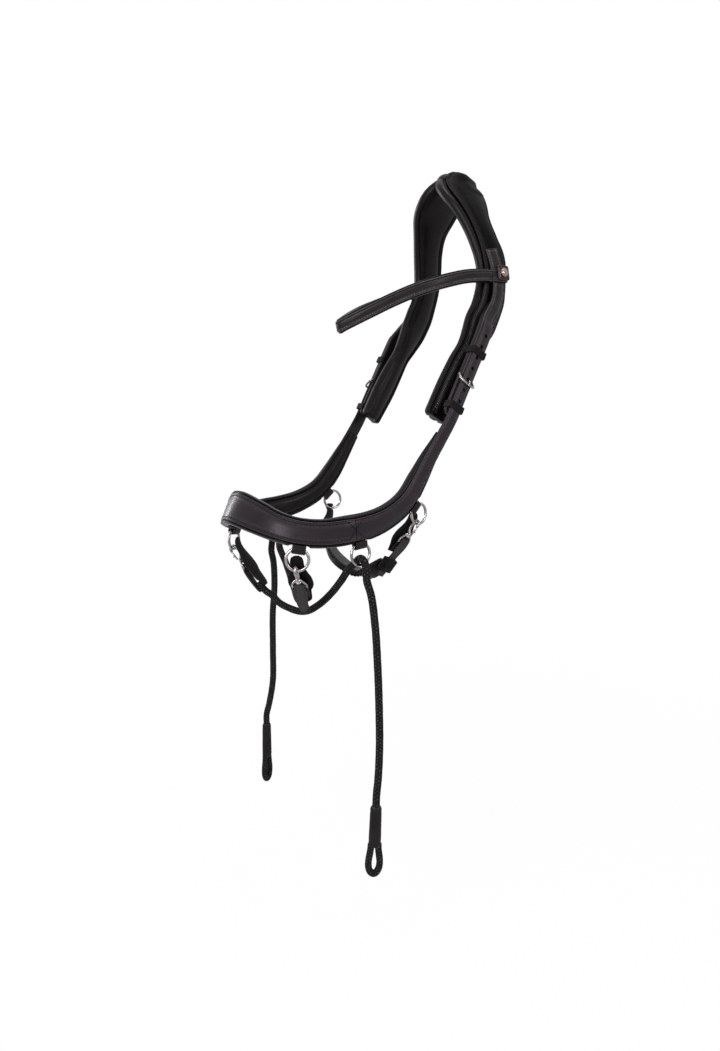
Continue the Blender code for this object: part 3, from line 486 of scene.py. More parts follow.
def facing(direction: Vector, axis: int) -> Vector:
    """A direction or its opposite, so that it points the positive way on an axis."""
    return -direction if direction[axis] < 0 else direction


def mirrored(stations: Sequence[Station]) -> list[Station]:
    """The left side's stations on the right side, in the opposite order."""
    put = Side.RIGHT.put
    return [(put(place), put(across), half) for place, across, half in reversed(stations)]


class Guide:
    """A strap's line: its place, the direction across it and its half width, by length along it."""

    REACH = 1.5

    def __init__(self, stations: Sequence[Station]) -> None:
        """Lay a smooth line through stations."""
        self.rows = smooth_rows([(*Vector(place), *Vector(across), half) for place, across, half in stations])
        lengths = np.linalg.norm(np.diff(self.rows[:, :3], axis=0), axis=1)
        self.along = np.concatenate([[0], np.cumsum(lengths)])
        self.length = float(self.along[-1])

    def row(self, s: float) -> np.ndarray:
        """The numbers at one length."""
        return np.array([np.interp(s, self.along, self.rows[:, k]) for k in range(7)])

    def at(self, s: float) -> tuple[Vector, Vector, Vector, Vector, float]:
        """Place, direction along, across and outward, and the half width."""
        here = self.row(s)
        ahead = self.row(min(s + self.REACH, self.length))
        behind = self.row(max(s - self.REACH, 0.0))
        along = Vector(ahead[:3] - behind[:3]).normalized()
        across = Vector(here[3:6])
        across = (across - along * across.dot(along)).normalized()
        return Vector(here[:3]), along, across, along.cross(across), float(here[6])

    def nearest(self, point: Sequence[float]) -> float:
        """The length at which the line passes nearest to a point."""
        gaps = np.linalg.norm(self.rows[:, :3] - np.array(point), axis=1)
        return float(self.along[int(np.argmin(gaps))])


def flipped(row: Sequence[Mark]) -> list[Mark]:
    """A row of a section on its other half, the opposite way round."""
    return [(-w, n, m) for w, n, m in reversed(row)]


def strap_section(half: float, low: float, high: float, creases: Sequence[Mark] = ()) -> list[Mark]:
    """A strap's section with rounded edges and creased lines.

    Args:
        half: half the width.
        low: the flesh side's height.
        high: the grain side's height.
        creases: (distance in from the edge, half width, depth) of each line.

    Returns:
        (across, outward, mark) points, round the section; the mark is rubbed wear and painted highlight on
        the rounded edges and the crests beside creases.
    """
    edge = min(1.1, (high - low) * 0.42, half * 0.3)
    reach = max([inset + width for inset, width, _ in creases], default=1.0) + 0.6
    k = min(1.0, half * 0.85 / reach)
    # marks near 1 on the rounded edge paint rubbed wear and highlight through the edge colour
    right = [(half - edge * 0.9, high, 0.8)]
    for inset, width, depth in creases:
        spot, w = max(inset * k, edge * 0.9 + width * k + 0.02), width * k
        right += [(half - spot + w, high, 0.0), (half - spot, high - depth * k, 0.0)]
        # the crest beside each crease takes painted highlight with some wear
        right.append((half - spot - w, high, 0.7))
    top = [(-w, n, m) for w, n, m in right] + [(-half * 0.12, high, 0.0), (half * 0.12, high, 0.0)]
    top += right[::-1]
    side: list[Mark] = []
    for turn, wear_and_highlight in ((22.5, 1.0), (45, 1.0), (67.5, 0.5), (90, 0.1)):
        a = math.radians(turn)
        side.append((half - edge + edge * math.sin(a), high - edge + edge * math.cos(a), wear_and_highlight))
    for turn in (90, 60, 30, 0):
        a = math.radians(turn)
        side.append((half - edge + edge * math.sin(a), low + edge - edge * math.cos(a), 0.1))
    return top + side + [(half * 0.3, low, 0.0), (-half * 0.3, low, 0.0)] + flipped(side)


def soft_section(points: Sequence[Mark], per: int = 2) -> list[Mark]:
    """A padded section's outline, rounded through its points.

    Args:
        points: (across, outward, held) points; held is 1 where a seam holds the pad.
        per: how many points each step gets.

    Returns:
        The rounded outline.
    """
    out: list[Mark] = []
    table = [Vector(p) for p in points]
    for i in range(len(table)):
        a, b, c, d = (table[(i + k) % len(table)] for k in (-1, 0, 1, 2))
        for k in range(per):
            u = k / per
            spot = 2 * b + (c - a) * u + (2 * a - 5 * b + 4 * c - d) * u * u
            spot = 0.5 * (spot + (3 * b - a - 3 * c + d) * u**3)
            out.append((spot.x, spot.y, min(1.0, max(0.0, b.z + (c.z - b.z) * u))))
    return out


# Making meshes


def mesh_object(name: str, verts: Points, faces: Sequence[Face], marks: Sequence[float] = ()) -> Piece:
    """A smooth object from points.

    Args:
        name: its name.
        verts: the points, in millimetres.
        faces: each face's points.
        marks: the mark of each point, or nothing for 0 everywhere.

    Returns:
        The object.
    """
    mesh = bpy.data.meshes.new(name)
    mesh.from_pydata([Vector(v) * MM for v in verts], [], faces)
    layer = mesh.attributes.new("mark", "FLOAT", "POINT")
    layer.data.foreach_set("value", np.array(marks or [0.0] * len(verts), np.float32))
    shape = bmesh.new()
    shape.from_mesh(mesh)
    bmesh.ops.recalc_face_normals(shape, faces=shape.faces)
    shape.to_mesh(mesh)
    shape.free()
    mesh.shade_smooth()
    mesh.set_sharp_from_angle(angle=math.radians(50))
    item = bpy.data.objects.new(name, mesh)
    bpy.context.scene.collection.objects.link(item)
    return item


def tube_faces(start: int, rings: int, count: int, closed: bool = False) -> list[Face]:
    """The faces over rings of points, with a cap at each end unless the tube is closed.

    Args:
        start: the first point's number.
        rings: how many rings there are.
        count: how many points each has.
        closed: whether the last ring joins the first.

    Returns:
        Each face's points.
    """
    faces: list[Face] = []
    for i in range(rings if closed else rings - 1):
        a = start + i * count
        b = start + (i + 1) % rings * count
        faces += [(a + k, a + (k + 1) % count, b + (k + 1) % count, b + k) for k in range(count)]
    if not closed:
        faces.append(tuple(start + k for k in reversed(range(count))))
        faces.append(tuple(start + (rings - 1) * count + k for k in range(count)))
    return faces


def skin(
    name: str, rings: Sequence[Points], marks: Sequence[Sequence[float]] = (), side: Side = Side.LEFT,
    closed: bool = False,
) -> Piece:
    """A closed skin over rings of points.

    Args:
        name: the piece's name.
        rings: points round each section.
        marks: the mark of each point.
        side: the side that it goes on.
        closed: whether the last ring joins the first.

    Returns:
        The object.
    """
    verts = [side.put(p) for ring in rings for p in ring]
    faces = tube_faces(0, len(rings), len(rings[0]), closed)
    return mesh_object(name, verts, faces, [m for row in marks for m in row])


def sweep(
    name: str, guide: Guide, lengths: Sequence[float], section: Section, side: Side = Side.LEFT
) -> Piece:
    """A skin along a guide.

    Args:
        name: the piece's name.
        guide: its line.
        lengths: where it has its rings.
        section: its section, from the length and the half width.
        side: the side that it goes on.

    Returns:
        The object.
    """
    rings = []
    marks = []
    for s in lengths:
        place, _, across, outward, half = guide.at(s)
        row = section(s, half)
        rings.append([place + across * a + outward * b for a, b, _ in row])
        marks.append([m for _, _, m in row])
    return skin(name, rings, marks, side)


def transported(points: Points, closed: bool = False) -> list[tuple[Vector, Vector]]:
    """Two directions across a path at each of its points, turned as little as possible."""
    count = len(points)
    frames = []
    normal = None
    for i in range(count):
        ahead = points[(i + 1) % count] if closed else points[min(i + 1, count - 1)]
        behind = points[i - 1] if closed else points[max(i - 1, 0)]
        along = (ahead - behind).normalized()
        if normal is None:
            normal = Vector((0, 0, 1)) if abs(along.z) < 0.9 else Vector((1, 0, 0))
        normal = (normal - along * normal.dot(along)).normalized()
        frames.append((normal.copy(), along.cross(normal)))
    return frames


def wire(
    name: str, points: Points, radius: Union[float, Sequence[float]], side: Side = Side.LEFT,
    closed: bool = False, sides: int = 14,
) -> Piece:
    """A round wire along points.

    Args:
        name: the piece's name.
        points: the wire's line.
        radius: one radius, or one for each point.
        side: the side that it goes on.
        closed: whether it is a loop.
        sides: how many faces go round it.

    Returns:
        The object.
    """
    sizes = [radius] * len(points) if isinstance(radius, float) else radius
    frames = transported(points, closed)
    rings = [circle(p, a, b, size, sides) for p, size, (a, b) in zip(points, sizes, frames)]
    return skin(name, rings, side=side, closed=closed)


def turned(
    name: str, profile: Sequence[Pair], origin: Vector, axis: Vector, side: Side, steps: int = 32
) -> Piece:
    """A turned piece.

    Args:
        name: the piece's name.
        profile: (radius, height) points along the axis.
        origin: where the axis starts.
        axis: its direction.
        side: the side that it goes on.
        steps: how many faces go round it.

    Returns:
        The object.
    """
    axis = axis.normalized()
    a = axis.orthogonal().normalized()
    b = axis.cross(a)
    return skin(name, [circle(origin + axis * h, a, b, max(r, 0.02), steps) for r, h in profile], side=side)


def band(
    name: str, frame_at: tuple[Vector, Vector, Vector], size: Mark, wall: float, corner: float, side: Side
) -> Piece:
    """A leather loop round a strap.

    Args:
        name: the piece's name.
        frame_at: its middle, the direction of its width and that of its height.
        size: inner width, inner height and depth along the strap.
        wall: its leather's thickness.
        corner: the inner corner's radius.
        side: the side that it goes on.

    Returns:
        The object.
    """
    place, across, outward = frame_at
    width, height, deep = size
    along = across.cross(outward)
    inner = rounded_box(width, height, corner)
    outer = rounded_box(width + 2 * wall, height + 2 * wall, corner + wall * 0.8)
    row = strap_section(deep / 2, 0.0, 1.0, ((1.5, 0.4, 0.12),))
    rings = []
    for (x0, y0), (x1, y1) in zip(inner, outer):
        a = place + across * x0 + outward * y0
        b = place + across * x1 + outward * y1
        rings.append([a + (b - a) * max(0.0, v) + along * u for u, v, _ in row])
    return skin(name, rings, [[m for _, _, m in row]] * len(rings), side, closed=True)


def block(name: str, origin: Vector, axes: Points, sizes: Sequence[float], side: Side) -> Piece:
    """A box to cut with.

    Args:
        name: its name.
        origin: its middle.
        axes: its three directions.
        sizes: its length along each.
        side: the side that it goes on.

    Returns:
        The object.
    """
    ends = (-0.5, 0.5)
    corners = [(x, y, z) for x in ends for y in ends for z in ends]
    verts = []
    for corner in corners:
        away = sum((a * size * u for a, size, u in zip(axes, sizes, corner)), Vector())
        verts.append(side.put(origin + away))
    faces = [(0, 1, 3, 2), (4, 6, 7, 5), (0, 4, 5, 1), (2, 3, 7, 6), (0, 2, 6, 4), (1, 5, 7, 3)]
    return mesh_object(name, verts, faces)


def join(item: Piece, *others: Piece) -> Piece:
    """Put other meshes into one piece."""
    shape = bmesh.new()
    shape.from_mesh(item.data)
    for other in others:
        shape.from_mesh(other.data)
        bpy.data.objects.remove(other)
    shape.to_mesh(item.data)
    shape.free()
    return item


def cut(item: Piece, *tools: Piece) -> Piece:
    """Cut tool solids out of a piece."""
    for tool in tools:
        modifier = item.modifiers.new("cut", "BOOLEAN")
        modifier.operation = "DIFFERENCE"
        modifier.solver = "EXACT"
        modifier.object = tool
    depsgraph = bpy.context.evaluated_depsgraph_get()
    item.data = bpy.data.meshes.new_from_object(item.evaluated_get(depsgraph))
    item.modifiers.clear()
    item.data.set_sharp_from_angle(angle=math.radians(45))
    for tool in tools:
        bpy.data.objects.remove(tool)
    return item


PADDING = {
    "use_pressure": True, "tension_stiffness": 12.0, "compression_stiffness": 8.0, "bending_stiffness": 1.2,
    "mass": 0.2,
}
PADDING_FRAMES = 20


def puff(item: Piece, pressure: float, cap: float) -> Piece:
    """Swell a pad between its seams with a cloth simulation.

    Args:
        item: the pad, with mark 1 where a seam holds it.
        pressure: the air's pressure in it.
        cap: how far a point may move, in millimetres.

    Returns:
        The pad, with the result in its mesh.
    """
    count = len(item.data.vertices)
    held = np.zeros(count, np.float32)
    item.data.attributes["mark"].data.foreach_get("value", held)
    before = np.zeros(count * 3, np.float32)
    item.data.vertices.foreach_get("co", before)
    before = before.reshape(-1, 3)
    group = item.vertex_groups.new(name="seams")
    for index in range(count):
        group.add([index], float(min(1.0, held[index] * 1.2)), "REPLACE")
    modifier = item.modifiers.new("padding", "CLOTH")
    cloth = modifier.settings
    cloth.vertex_group_mass = group.name
    cloth.uniform_pressure_force = pressure
    cloth.effector_weights.gravity = 0.0
    for name, value in PADDING.items():
        setattr(cloth, name, value)
    modifier.collision_settings.use_collision = False
    scene = bpy.context.scene
    for number in range(1, PADDING_FRAMES + 1):
        scene.frame_set(number)
    depsgraph = bpy.context.evaluated_depsgraph_get()
    after = np.zeros(count * 3, np.float32)
    item.evaluated_get(depsgraph).to_mesh().vertices.foreach_get("co", after)
    item.modifiers.clear()
    item.vertex_groups.clear()
    scene.frame_set(1)
    move = after.reshape(-1, 3) - before
    size = np.linalg.norm(move, axis=1, keepdims=True)
    move *= np.minimum(1.0, cap * MM / np.maximum(size, 1e-9))
    item.data.vertices.foreach_set("co", (before + move * (1 - held[:, None])).ravel())
    item.data.attributes["mark"].data.foreach_set("value", np.zeros(count, np.float32))
    item.data.update()
    return item


def dress(item: Piece, finish: Finish, *nodes: str, body: str = "root", slot: Slot | None = None) -> Piece:
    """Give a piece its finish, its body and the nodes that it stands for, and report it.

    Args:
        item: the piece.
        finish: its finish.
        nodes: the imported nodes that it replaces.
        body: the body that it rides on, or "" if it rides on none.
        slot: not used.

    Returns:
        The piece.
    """
    item.data.materials.clear()
    item.data.materials.append(material_of(finish))
    if body:
        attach(item, body)
    if nodes:
        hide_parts(*nodes)
    log.info("%s on %s, for %s", item.name, body or "two bodies", ", ".join(nodes) or "no node")
    return item


# Stitches


class Stitch(NamedTuple):
    """One stitch: its middle, the way that it runs, and the way that it faces."""

    middle: Vector
    run: Vector
    face: Vector


STITCH_STEPS = (-1.0, -0.82, -0.45, 0.0, 0.45, 0.82, 1.0)
STITCH_SIDES = 6
CROSS_PITCH = 2.8


def sew(
    name: str, stitches: Sequence[Stitch], size: Pair, finish: Finish, side: Side = Side.LEFT,
    body: str = "root",
) -> None:
    """Make stitches as one piece, each a short thread whose ends dip into the leather.

    Args:
        name: the piece's name.
        stitches: where they are.
        size: each one's length and the thread's radius.
        finish: the thread.
        side: the side that they go on.
        body: the body that they ride on.
    """
    length, radius = size
    verts: list[Vector] = []
    faces: list[Face] = []
    for middle, run, face in stitches:
        across = run.cross(face).normalized()
        faces += tube_faces(len(verts), len(STITCH_STEPS), STITCH_SIDES)
        for u in STITCH_STEPS:
            thick = radius * (1.0 if abs(u) < 0.9 else 0.55)
            dip = radius * 1.5 * max(0.0, abs(u) - 0.45) ** 1.5 * 2.0
            spot = middle + run * (u * length / 2) + face * (radius * 0.45 - dip)
            verts += [side.put(p) for p in circle(spot, across, face * 0.8, thick, STITCH_SIDES)]
    dress(mesh_object(name, verts, faces), finish, body=body)


def stitch_row(
    guide: Guide, start: float, end: float, pitch: float, slant: float, line: Callable[[float, float], Pair]
) -> list[Stitch]:
    """A row of stitches along a strap.

    Args:
        guide: the strap's line.
        start: the length where the row starts.
        end: the length where it ends.
        pitch: from stitch to stitch.
        slant: how far each stitch is turned, in degrees.
        line: the row's place across the strap and its height, from the length and the half width.

    Returns:
        The stitches.
    """
    turn = math.radians(slant)
    row = []
    for s in spaced(start, end, pitch):
        place, along, wide, outward, half = guide.at(s)
        w, height = line(s, half)
        run = along * math.cos(turn) + wide * math.sin(turn)
        row.append(Stitch(place + wide * w + outward * height, run, outward))
    return row


def edge_rows(
    guide: Guide, start: float, end: float, pitch: float, slant: float, height: float,
    inset: Callable[[float], float],
) -> list[Stitch]:
    """A row of stitches along each edge of a strap.

    Args:
        guide: the strap's line.
        start: the length where the rows start.
        end: the length where they end.
        pitch: from stitch to stitch.
        slant: how far each stitch is turned, in degrees.
        height: the leather's height.
        inset: how far each row lies inside its edge, from the half width.

    Returns:
        The stitches.
    """
    rows: list[Stitch] = []
    for sign in (-1, 1):
        def line(s: float, half: float, sign: int = sign) -> Pair:
            """The row beside one edge."""
            return sign * (half - inset(half)), height

        rows += stitch_row(guide, start, end, pitch, slant, line)
    return rows


def cross_row(guide: Guide, s: float, margin: float, height: float, lean: float) -> list[Stitch]:
    """A row of stitches across a strap.

    Args:
        guide: the strap's line.
        s: the length where the row lies.
        margin: how far it stays from the edges.
        height: the leather's height.
        lean: how far each stitch leans along the strap.

    Returns:
        The stitches.
    """
    place, along, wide, outward, half = guide.at(s)
    run = (wide + along * lean).normalized()
    spots = spaced(margin - half, half - margin, CROSS_PITCH)
    return [Stitch(place + wide * w + outward * height, run, outward) for w in spots]


# The headpiece


@dataclass
class Crown:
    """The padded crown over the poll, with its stitched leather."""

    leather: float = 3.0
    padding: float = 11.0
    bulge: float = 9.4
    front_reveal: float = 5.5
    poll_reveal: float = 5.5
    back_reveal: float = 3.2
    row_inset: float = 2.6
    fine: float = 150.0
    stations: int = 25
    FRONT: ClassVar[list[Mark]] = [
        (0, -22, 3), (25.5, -42, -21.5), (40, -38.5, -38.5), (48, -30, -56), (55, -22.8, -78),
        (60, -17.5, -102), (62.6, -15.8, -128), (66.5, -22.5, -161), (64, -41, -187), (63, -53, -202),
        (64, -73, -233), (64, -96.5, -273),
    ]
    BACK: ClassVar[list[Mark]] = [
        (0, 26, 6), (15, 24.5, -8), (28, 21, -24), (42, 17, -48), (53.5, 20.5, -73), (61, 25.5, -94),
        (63.6, 22.5, -113), (66.5, 14, -137), (70, -2, -173), (71, -33, -225), (71, -54, -262),
        (70, -77, -296),
    ]
    guide: Guide = field(init=False)

    def __post_init__(self) -> None:
        """Lay the crown's outer surface from the right end over the poll to the left end."""
        edges = [smooth_rows(self.FRONT), smooth_rows(self.BACK)]
        count = len(edges[0])
        half = []
        for i in range(self.stations):
            at = i * (count - 1) / (self.stations - 1)
            f, b = (Vector([np.interp(at, range(count), edge[:, k]) for k in range(3)]) for edge in edges)
            half.append(((f + b) / 2, (b - f).normalized(), (b - f).length / 2))
        self.guide = Guide(mirrored(half[1:]) + half)

    def away(self, s: float) -> float:
        """How far a length is from the poll."""
        return abs(s - self.guide.length / 2)

    def edges(self, s: float, half: float) -> tuple[float, float]:
        """The leather's front and back edges."""
        front = self.front_reveal + self.poll_reveal * max(0.0, 1 - self.away(s) / 120)
        return -half + front, half - self.back_reveal

    def rise(self, s: float, w: float, half: float) -> float:
        """How far the crown bulges over the poll."""
        return self.bulge * max(0.0, 1 - self.away(s) / 65) ** 2 * (1 - (w / half) ** 2)

    def pad_section(self, s: float, half: float) -> list[Mark]:
        """The pad, with a fat roll in front and a thin one behind."""
        half = rounded_half(half, min(s, self.guide.length - s), 4.0)
        low, high = self.edges(s, half)
        roll = low + half
        sink = 0.5 * self.rise(s, 0, half)
        points = [(w, self.rise(s, w, half), 1.0) for w in (low + (high - low) * i / 4 for i in range(5))]
        points.append((high + 0.6, self.rise(s, high, half) - 0.1, 1.0))
        points += [(half - 1.0, 0.7, 0.0), (half, -3.4, 0.0), (half - 0.6, -7.0, 0.0)]
        behind = [(half - 3.0, 1.2, 0.2), (half - 5.6, 3.6, 1.0), (half - 8.6, 1.3, 0.2)]
        behind.append((half * 0.28, -0.7, 0.1))
        inner = behind + flipped(behind)
        points += [(w, h - self.padding + sink * (1 - abs(w) / half), m) for w, h, m in inner]
        points += [(-half + 0.6, -7.0, 0.0), (-half, -3.4, 0.0), (-half + 1.6, 0.2, 0.0)]
        crest = -half + roll * 0.5
        points.append((crest, self.rise(s, crest, half) + 1.2, 0.0))
        points.append((low - 0.6, self.rise(s, low, half) - 0.6, 1.0))
        return soft_section(points)

    def leather_section(self, s: float, half: float) -> list[Mark]:
        """The leather, creased beside its stitches."""
        half = rounded_half(half, min(s, self.guide.length - s), 4.0)
        low, high = self.edges(s, half)
        middle = (low + high) / 2
        creases = ((1.2, 0.35, 0.25), (self.row_inset, 0.7, 0.45))
        flat = strap_section((high - low) / 2, GAP, GAP + self.leather, creases)
        return [(w + middle, n + self.rise(s, w + middle, half), m) for w, n, m in flat]

    def build(self) -> None:
        """Make the pad, the leather and their stitches."""
        guide = self.guide
        total = guide.length
        ends = [0.0, 0.4, 1.2, 2.2, 3.2, 4.2, 5.4]
        lengths = ends + spaced(8.0, total - 8.0, 4.0) + [total - s for s in reversed(ends)]
        pad = puff(sweep("crown_padding", guide, lengths, self.pad_section), 3.0, 1.0)
        dress(pad, PAD, "crown_pad")
        inner = [3.0, 3.6, 4.4] + spaced(6.0, total - 6.0, 3.0) + [total - 4.4, total - 3.6, total - 3.0]
        dress(sweep("crown_top_leather", guide, inner, self.leather_section), CROWN, "crown_leather")
        fine: list[Stitch] = []
        ladder: list[Stitch] = []
        for edge in (0, 1):
            def line(s: float, half: float, edge: int = edge) -> tuple[float, float]:
                """The row's place beside one edge, and the leather's height there."""
                w = self.edges(s, half)[edge] + (1 - 2 * edge) * self.row_inset
                return w, GAP + self.leather - 0.45 + self.rise(s, w, half)

            turn = total / 2 - self.fine
            fine += stitch_row(guide, turn, total - turn, 3.0, 20.0, line)
            for start, end in ((9.0, turn - 3.0), (total - turn + 3.0, total - 9.0)):
                ladder += stitch_row(guide, start, end, 2.5, 76.0, line)
        sew("crown_stitching", fine, (2.4, 0.34), CHEEK_THREAD)
        sew("crown_ladder_stitching", ladder, (3.8, 0.46), LADDER_THREAD)


@dataclass
class Cheeks:
    """Where the hanging straps, the cheeks and the noseband run."""

    strap_face: float = 87.2
    strap_line: float = 60.0
    hanging_width: float = 18.0
    billet_width: float = 16.0
    billet: float = 3.0
    billet_tip: float = 165.5
    bar_down: float = 237.5
    safe_end: float = 287.0
    fold_radius: float = 3.7
    roll: float = 3.5
    LOOP_AT: ClassVar[Mark] = (72.2, 3, -118)
    FOLD_AT: ClassVar[Mark] = (78.0, -5, -152)
    SEAM_AT: ClassVar[Mark] = (98.6, -224, -398.3)
    NOSE_LINE: ClassVar[list[Station]] = [
        ((90.0, -99, -307.5), (0, 0.86, -0.50), 8.6), ((90.0, -116, -331), (0, 0.85, -0.53), 10.8),
        ((91.0, -130, -351), (0, 0.77, -0.64), 12.4), ((93.5, -150, -374), (0.03, 0.60, -0.80), 13.2),
        ((97.0, -178, -389), (0.02, 0.33, -0.94), 14.0), ((99.5, -205, -396), (0, 0.12, -0.99), 15.0),
        ((98.0, -233, -399), (-0.03, -0.10, -0.99), 15.5),
        ((86.5, -260, -400.5), (-0.02, -0.33, -0.94), 15.0),
        ((73.0, -281, -397.5), (0, -0.42, -0.91), 15.3), ((56.0, -296, -391.5), (0, -0.42, -0.91), 15.8),
        ((36.0, -306, -384.5), (0, -0.41, -0.91), 17.5), ((0.0, -314.5, -377), (0, -0.42, -0.91), 19.0),
    ]
    hanging: Guide = field(init=False)
    nose: Guide = field(init=False)
    seam: float = field(init=False)

    def __post_init__(self) -> None:
        """Lay both lines and find the noseband's seam."""
        self.hanging = self._hanging()
        left = self._billet() + self.NOSE_LINE
        self.nose = Guide(left + mirrored(left[:-1]))
        self.seam = self.nose.nearest(self.SEAM_AT)

    def strap_point(self, down: float, face: float, line: float | None = None) -> Vector:
        """A place on the straight cheek strap."""
        place = DOWN * down + ACROSS * (self.strap_line if line is None else line)
        return Vector((face, place.y, place.z))

    def bar(self, depth: float = 0.0) -> Vector:
        """The buckle bar's place, or one that is deeper by some length."""
        return self.strap_point(self.bar_down, self.strap_face - depth)

    def inset(self, half: float) -> float:
        """How far the leather's edge lies inside the padding's roll."""
        return self.roll * ramp(half, 8.2, 13.0)

    def _hanging(self) -> Guide:
        """The outer face of the hanging strap, from its sewn top to the end of its safe."""
        start = (0.09, 1.0, 0.0)
        rows = [
            ((64.4, -2, -86), start), ((68.2, 1, -100), start), (self.LOOP_AT, (0.08, 0.99, -0.1)),
            ((75.2, 1.5, -135), (0, 0.98, -0.2)), (self.FOLD_AT, (0, 0.93, -0.36)),
            (self.strap_point(160, 82.5, 62), ACROSS), (self.strap_point(172, 86.0), ACROSS),
        ]
        for down in (186, 215, self.bar_down, self.safe_end):
            rows.append((self.strap_point(down, self.strap_face), ACROSS))
        return Guide([(place, across, self.hanging_width / 2) for place, across in rows])

    def _billet(self) -> list[Station]:
        """The outer face of the billet."""
        half = self.billet_width / 2
        rise = GAP + self.billet
        stations = []
        for down in (self.billet_tip, 173, 181, 190):
            place, _, across, outward, _ = self.hanging.at(self.hanging.nearest(self.strap_point(down, 85)))
            stations.append((place + outward * rise, across, half))
        for down in (215, self.bar_down, 262, 292):
            stations.append((self.strap_point(down, self.strap_face + rise), ACROSS, half))
        return stations


@dataclass
class CheekPart:
    """Something on one cheek."""

    cheeks: Cheeks
    side: Side


@dataclass
class HangingStrap(CheekPart):
    """A strap sewn on the crown, folded round its buckle's bar, with its safe below."""

    leather: float = 3.0
    safe: float = 2.2
    row_inset: float = 3.0
    box_start: float = 46.0
    box_end: float = 76.0

    def heights(self, s: float, fold: float, bar: float) -> tuple[float, float]:
        """The strap's flesh and grain sides at a length."""
        radius = self.cheeks.fold_radius
        low = -self.leather - (2 * radius - self.leather) * ramp(s, fold, fold + 5)
        if s <= bar:
            return low, 0.0
        reach = min(1.0, (s - bar) / radius)
        return low, max(-2 * radius + self.safe, -radius + radius * math.sqrt(1 - reach * reach))

    def build(self) -> None:
        """Make the strap with its slot, and the stitches that hold its fold and its top."""
        cheeks = self.cheeks
        guide = cheeks.hanging
        fold = guide.nearest(cheeks.FOLD_AT)
        bar = guide.nearest(cheeks.bar())

        def section(s: float, half: float) -> list[Mark]:
            """The strap, creased beside its edges."""
            half = rounded_half(half, guide.length - s, 5.0)
            creases = ((1.3, 0.35, 0.22), (self.row_inset, 0.6, 0.3))
            return strap_section(half, *self.heights(s, fold, bar), creases)

        lengths = spaced(0.0, fold, 2.5) + spaced(fold + 2.5, bar, 2.5)
        lengths += [bar + cheeks.fold_radius * r for r in (0.15, 0.35, 0.5, 0.65, 0.78, 0.88, 0.95, 0.995)]
        lengths += spaced(bar + cheeks.fold_radius + 0.4, guide.length - 5, 4.0)
        lengths += [guide.length - x for x in (3.6, 2.4, 1.4, 0.7, 0.2, 0.0)]
        strap = sweep(self.side.of("hanging_leather"), guide, lengths, section, self.side)
        middle = cheeks.bar(cheeks.fold_radius) + DOWN * 0.7
        slot = block("slot", middle, (DOWN, OUT, ACROSS), (9.6, 12.0, 3.0), self.side)
        dress(cut(strap, slot), STRAP, self.side.of("hanging_strap"))
        rows = edge_rows(guide, 3.0, 21.0, 3.4, 12.0, -0.3, lambda half: self.row_inset)
        rows += edge_rows(guide, self.box_start, self.box_end, 2.6, 30.0, -0.2, lambda half: self.row_inset)
        for s in (3.0, self.box_start - 1.5):
            rows += cross_row(guide, s, 4.2, -0.1, 0.35)
        sew(self.side.of("hanging_stitching"), rows, (2.9, 0.42), PALE_THREAD, self.side)


@dataclass
class Buckle(CheekPart):
    """A wire buckle in the hanging strap's fold, and its tongue."""

    wire_radius: float = 1.4
    reach: float = 9.5
    clear: float = 0.6
    tongue_radius: float = 0.95

    def build(self) -> None:
        """Make the frame and the tongue."""
        cheeks, side = self.cheeks, self.side
        a = cheeks.bar(cheeks.fold_radius)
        rise = cheeks.fold_radius + GAP + cheeks.billet + GAP + self.wire_radius
        b = a + DOWN * self.reach + OUT * rise
        slant = (b - a).normalized()
        reach = (b - a).length
        half = cheeks.hanging_width / 2 + self.clear + self.wire_radius
        points = [a + slant * (y + reach / 2) + ACROSS * x for x, y in rounded_box(2 * half, reach, 2.6, 8)]
        loop = wire(side.of("buckle_wire"), points, self.wire_radius, side, closed=True, sides=18)
        dress(loop, NICKEL, side.of("buckle_frame"), body=side.of("buckle_frame"))
        over = rise + self.wire_radius + GAP + self.tongue_radius
        path = arc(self.wire_radius + GAP + self.tongue_radius, 70, 340, 22)
        path += [(3.0, 1.4), (3.5, 4.0), (4.0, 6.2), (5.1, 8.7), (7.0, 10.7), (self.reach, over)]
        path.append((12.0, over - 0.4))
        rows = smooth_rows([tuple(a + DOWN * x + OUT * y) for x, y in path], 3)
        sizes = [self.tongue_radius * (0.45 + 0.55 * ramp(len(rows) - 1 - i, 0, 3)) for i in range(len(rows))]
        tongue = wire(side.of("buckle_pin"), [Vector(r) for r in rows], sizes, side)
        dress(tongue, NICKEL, side.of("buckle_tongue"), body=side.of("buckle_tongue"))


@dataclass
class Keeper(CheekPart):
    """A leather runner round the strap and the billet."""

    name: str
    down: float
    wall: float = 1.5
    deep: float = 8.0

    def build(self) -> None:
        """Make the runner."""
        cheeks = self.cheeks
        low = -2 * cheeks.fold_radius - GAP
        high = GAP + cheeks.billet + GAP
        place = cheeks.strap_point(self.down, cheeks.strap_face + (low + high) / 2)
        size = (cheeks.hanging_width + 2 * GAP, high - low, self.deep)
        name = self.side.of(self.name)
        loop = band("runner_" + name, (place, ACROSS, OUT), size, self.wall, 0.8, self.side)
        dress(loop, MATT, "keeper_" + name, body="keeper_" + name)


